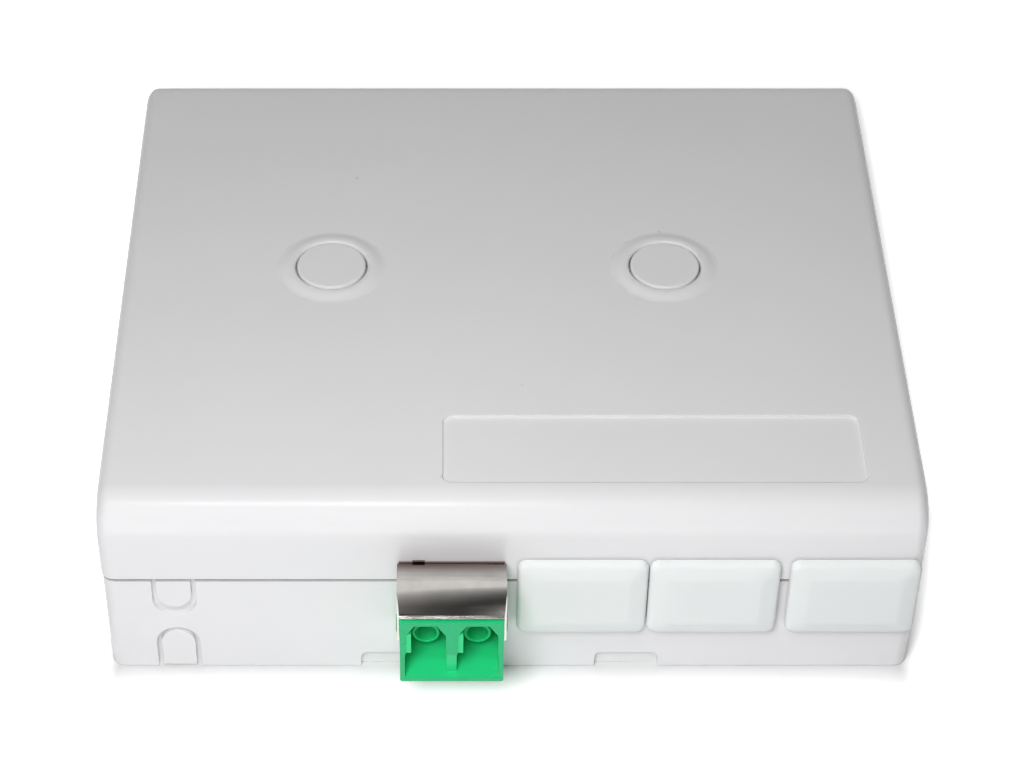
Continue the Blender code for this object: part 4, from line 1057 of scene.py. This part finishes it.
@dataclass
class Studio:
    """The floor, the lamps, the white surroundings and the camera of the photograph.

    Attributes:
        lens: The camera's focal length in millimetres.
        camera_place: Where the camera stands.
        pitch: How far it looks up from straight down, in degrees.
        shift: Its shift sideways.
        floor_tone: The floor's colour to the camera and in reflections.
        floor_bounce: Its colour for the light that it throws back.
        floor_lift: How much the floor glows outside the shadow.
        lift_reach: How far outside the shadow the glow takes to come in.
        side_lift: How far inside the box's sides it starts to.
        side_spread: How much wider the shadow is behind the front than at it.
        side_shift: How far to the right the shadow lies there.
        spread_reach: How far behind the front it gets that wide.
        lean: How much wider it still gets for each metre towards the rear.
        rear_reach: How far behind the box the shadow ends.
        front_share: How fast the glow comes in ahead, against the sides.
        ambient: How bright the surroundings are as a fill.
        canopy_tone: How bright the canopy is at the front.
        canopy_rise: How much brighter it is at the rear.
        canopy_bounce: How much brighter it is to light from a matt surface.
    """

    lens: float = 95.61
    camera_place: Point = (-8.876 * MM, -268.53 * MM, 259.84 * MM)
    pitch: float = 46.964
    shift: float = 0.0716
    floor_tone: Point = (0.72, 0.72, 0.72)
    floor_bounce: Point = (0.90, 0.90, 0.92)
    floor_lift: float = 0.90
    lift_reach: float = 3.0 * MM
    side_lift: float = 0.95 * MM
    side_spread: float = 2.15 * MM
    side_shift: float = 2.5 * MM
    spread_reach: float = 26.0 * MM
    lean: float = 0.012
    rear_reach: float = 31.0 * MM
    front_share: float = 0.43
    ambient: float = 0.155
    canopy_tone: float = 0.035
    canopy_rise: float = 0.65
    canopy_bounce: float = 0.6

    def camera(self) -> None:
        """Sets the camera where the photograph was taken from."""
        data = bpy.data.cameras.new("camera")
        data.sensor_width = 36.0
        data.lens = self.lens
        data.shift_x = self.shift
        data.clip_start = 0.01
        data.clip_end = 20.0
        camera = bpy.data.objects.new("camera", data)
        camera.location = self.camera_place
        camera.rotation_euler = (math.radians(self.pitch), 0.0, 0.0)
        bpy.context.scene.collection.objects.link(camera)
        bpy.context.scene.camera = camera

    def canopy(self) -> None:
        """Hangs a dark cloth round the front, the sides and the top, which only reflections show."""
        reach, rear, height = 1.2, 0.6, 1.2
        dark_until, steepness = -0.3, 3.0
        cloth = Bench.block("canopy", (-reach, -reach, -0.05), (reach, rear, height))
        Bench.pick(cloth, Pick.FACES, lambda face: face.normal.y > 0.9 or face.normal.z < -0.9)
        bpy.ops.mesh.delete(type="FACE")
        Bench.leave()
        sheet = Sheet("canopy_black")
        sheet.set(Base_Color=BLACK, Specular_IOR_Level=0.0, Emission_Color=WHITE)
        share = sheet.between(sheet.coordinate(Axis.Y), dark_until, rear, 0.0, 1.0)
        share = sheet.compute("POWER", share, steepness)
        strength = sheet.compute("MULTIPLY_ADD", share, self.canopy_rise, self.canopy_tone)
        scattered = sheet.compute("MINIMUM", sheet.add("ShaderNodeLightPath").outputs["Diffuse Depth"], 1.0)
        sheet.drive("Emission Strength", sheet.compute("MULTIPLY_ADD", scattered, self.canopy_bounce, strength))
        cloth.data.materials.append(sheet.material)
        cloth.visible_camera = cloth.visible_diffuse = cloth.visible_transmission = False
        cloth.visible_volume_scatter = cloth.visible_shadow = False

    def floor(self) -> None:
        """Lays a plain pale floor that looks white to the camera but keeps the shadow."""
        Bench.deselect()
        bpy.ops.mesh.primitive_plane_add(size=6.0, location=(0.0, 0.0, -0.05 * MM))
        floor = Bench.fresh("floor")
        sheet = Sheet("floor_white")
        shown = sheet.shown()
        lift = sheet.between(self.footprint_distance(sheet), 0.0, self.lift_reach, 0.0, self.floor_lift)
        sheet.drive("Base Color", sheet.blend(shown, self.floor_bounce, self.floor_tone))
        sheet.drive("Emission Strength", sheet.compute("MULTIPLY", shown, lift))
        sheet.set(Roughness=0.9, Specular_IOR_Level=0.1, Emission_Color=WHITE)
        floor.data.materials.append(sheet.material)

    def footprint_distance(self, sheet: Sheet) -> Socket:
        """How far a point of the floor lies outside the box's footprint, which keeps the lift off its shadow."""
        base = Extent.of("base")
        along, across = sheet.coordinate(Axis.Y), sheet.coordinate(Axis.X)
        behind = sheet.compute("ADD", along, base.high.y)
        grown = sheet.between(behind, 0.0, self.spread_reach, 0.0, 1.0)
        shifted = sheet.compute("MULTIPLY_ADD", grown, -self.side_shift, across)
        edge = sheet.compute("MULTIPLY_ADD", grown, self.side_spread, base.high.x - self.side_lift)
        edge = sheet.compute("MULTIPLY_ADD", behind, self.lean, edge)
        aside = sheet.compute("SUBTRACT", sheet.compute("ABSOLUTE", shifted), edge)
        middle = self.rear_reach / 2
        ahead = sheet.compute("ABSOLUTE", sheet.compute("SUBTRACT", along, middle))
        ahead = sheet.compute("SUBTRACT", ahead, base.high.y + middle)
        ahead = sheet.compute("MULTIPLY", ahead, self.front_share)
        squares = [sheet.compute("POWER", sheet.compute("MAXIMUM", reach, 0.0), 2.0) for reach in (aside, ahead)]
        return sheet.compute("SQRT", sheet.compute("ADD", *squares))

    @staticmethod
    def lamps() -> None:
        """Hangs the soft key lamp in front, and the strip over it that glints along the cover's edge."""
        Lamp("key", (-0.043, -0.196, 0.210), (0.0, 0.0, 0.02), (0.09, 0.09), 0.515, mirrored=False).hang()
        Lamp("strip", (-0.035, -0.148, 0.304), (0.0, -0.02, 0.026), (0.08, 0.014), 0.13).hang()

    def surroundings(self) -> None:
        """Makes the world white to the camera and in reflections, and a dim fill elsewhere."""
        world = bpy.data.worlds.new("surroundings")
        bpy.context.scene.world = world
        world.use_nodes = True
        graph = Graph(world.node_tree)
        graph.tree.nodes.clear()
        mix = graph.add("ShaderNodeMixShader")
        graph.link(graph.shown(), mix.inputs["Fac"])
        for index, strength in enumerate((self.ambient, 1.0), start=1):
            light = graph.add("ShaderNodeBackground")
            light.inputs["Color"].default_value = WHITE
            light.inputs["Strength"].default_value = strength
            graph.link(light.outputs[0], mix.inputs[index])
        graph.link(mix.outputs[0], graph.add("ShaderNodeOutputWorld").inputs["Surface"])

    def build(self) -> None:
        """Sets up the whole studio."""
        self.camera()
        self.floor()
        self.canopy()
        self.lamps()
        self.surroundings()
        bpy.context.scene.view_settings.view_transform = "Standard"


class TerminationBox:
    """The whole box, piece by piece."""

    def __init__(self, finishes: dict[Slot, bpy.types.Material]) -> None:
        """Keeps the finishes that the pieces are dressed in."""
        self.finishes = finishes

    def fit(self, piece: Object, body: Body, slot: Slot, node: str) -> None:
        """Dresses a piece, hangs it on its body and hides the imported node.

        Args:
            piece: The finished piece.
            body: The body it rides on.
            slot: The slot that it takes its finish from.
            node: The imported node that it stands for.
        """
        piece.data.materials.clear()
        piece.data.materials.append(self.finishes[slot])
        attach(piece, body.value)
        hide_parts(node)
        LOG.info("%s: %d faces on %s", piece.name, len(piece.data.polygons), body.value)

    def shells(self) -> None:
        """Makes the cover and the base."""
        shells = Shells()
        self.fit(shells.make_cover(), Body.HOUSING, Slot.CASE, "cover")
        self.fit(shells.make_base(), Body.HOUSING, Slot.CASE, "base")

    def caps(self) -> None:
        """Makes the screw caps and the blank caps."""
        for side, body in (("left", Body.SCREW_CAP_LEFT), ("right", Body.SCREW_CAP_RIGHT)):
            self.fit(ScrewCaps().make(side), body, Slot.CASE, f"screw_cap_{side}")
        for number, body in enumerate((Body.BLANK_1, Body.BLANK_2, Body.BLANK_3), start=1):
            self.fit(BlankCaps().make(number), body, Slot.CAP, f"blank_cap_{number}")

    def adapter(self) -> None:
        """Makes the adapter's two halves, its sleeves and the visor."""
        self.fit(Mouth().make(), Body.HOUSING, Slot.ADAPTER, "adapter_front_housing")
        self.copy("adapter_rear_housing", "adapter_tail", Slot.ADAPTER, 0.06)
        for side in ("left", "right"):
            self.copy(f"alignment_sleeve_{side}", f"ferrule_sleeve_{side}", Slot.SLEEVE, 0.0)
        self.fit(Visor().make(), Body.SHUTTER, Slot.SHUTTER, "shutter")

    def inside(self) -> None:
        """Makes the tray, the comb, the clamp and the screws."""
        inner = [("fibre_tray", Slot.TRAY, 0.12), ("splice_comb", Slot.COMB, 0.15), ("cable_clamp", Slot.TRAY, 0.15)]
        for kind, edge in (("cover", 0.05), ("tray", 0.04), ("clamp", 0.04)):
            inner += [(f"{kind}_screw_{side}", Slot.SCREW, edge) for side in ("left", "right")]
        for node, slot, edge in inner:
            self.copy(node, f"{node}_piece", slot, edge)

    def copy(self, node: str, name: str, slot: Slot, edge: float) -> None:
        """Makes a fixed piece from its packed form, with its edges broken by so many millimetres."""
        self.fit(refined_copy(node, name, edge * MM), Body.HOUSING, slot, node)

    def build(self) -> None:
        """Makes every piece."""
        self.shells()
        self.caps()
        self.adapter()
        self.inside()


def main() -> None:
    """Builds the studio and the box."""
    logging.basicConfig(level=logging.INFO, format="%(name)s %(message)s")
    Studio().build()
    TerminationBox(make_finishes()).build()


if __name__ == "__main__":
    main()
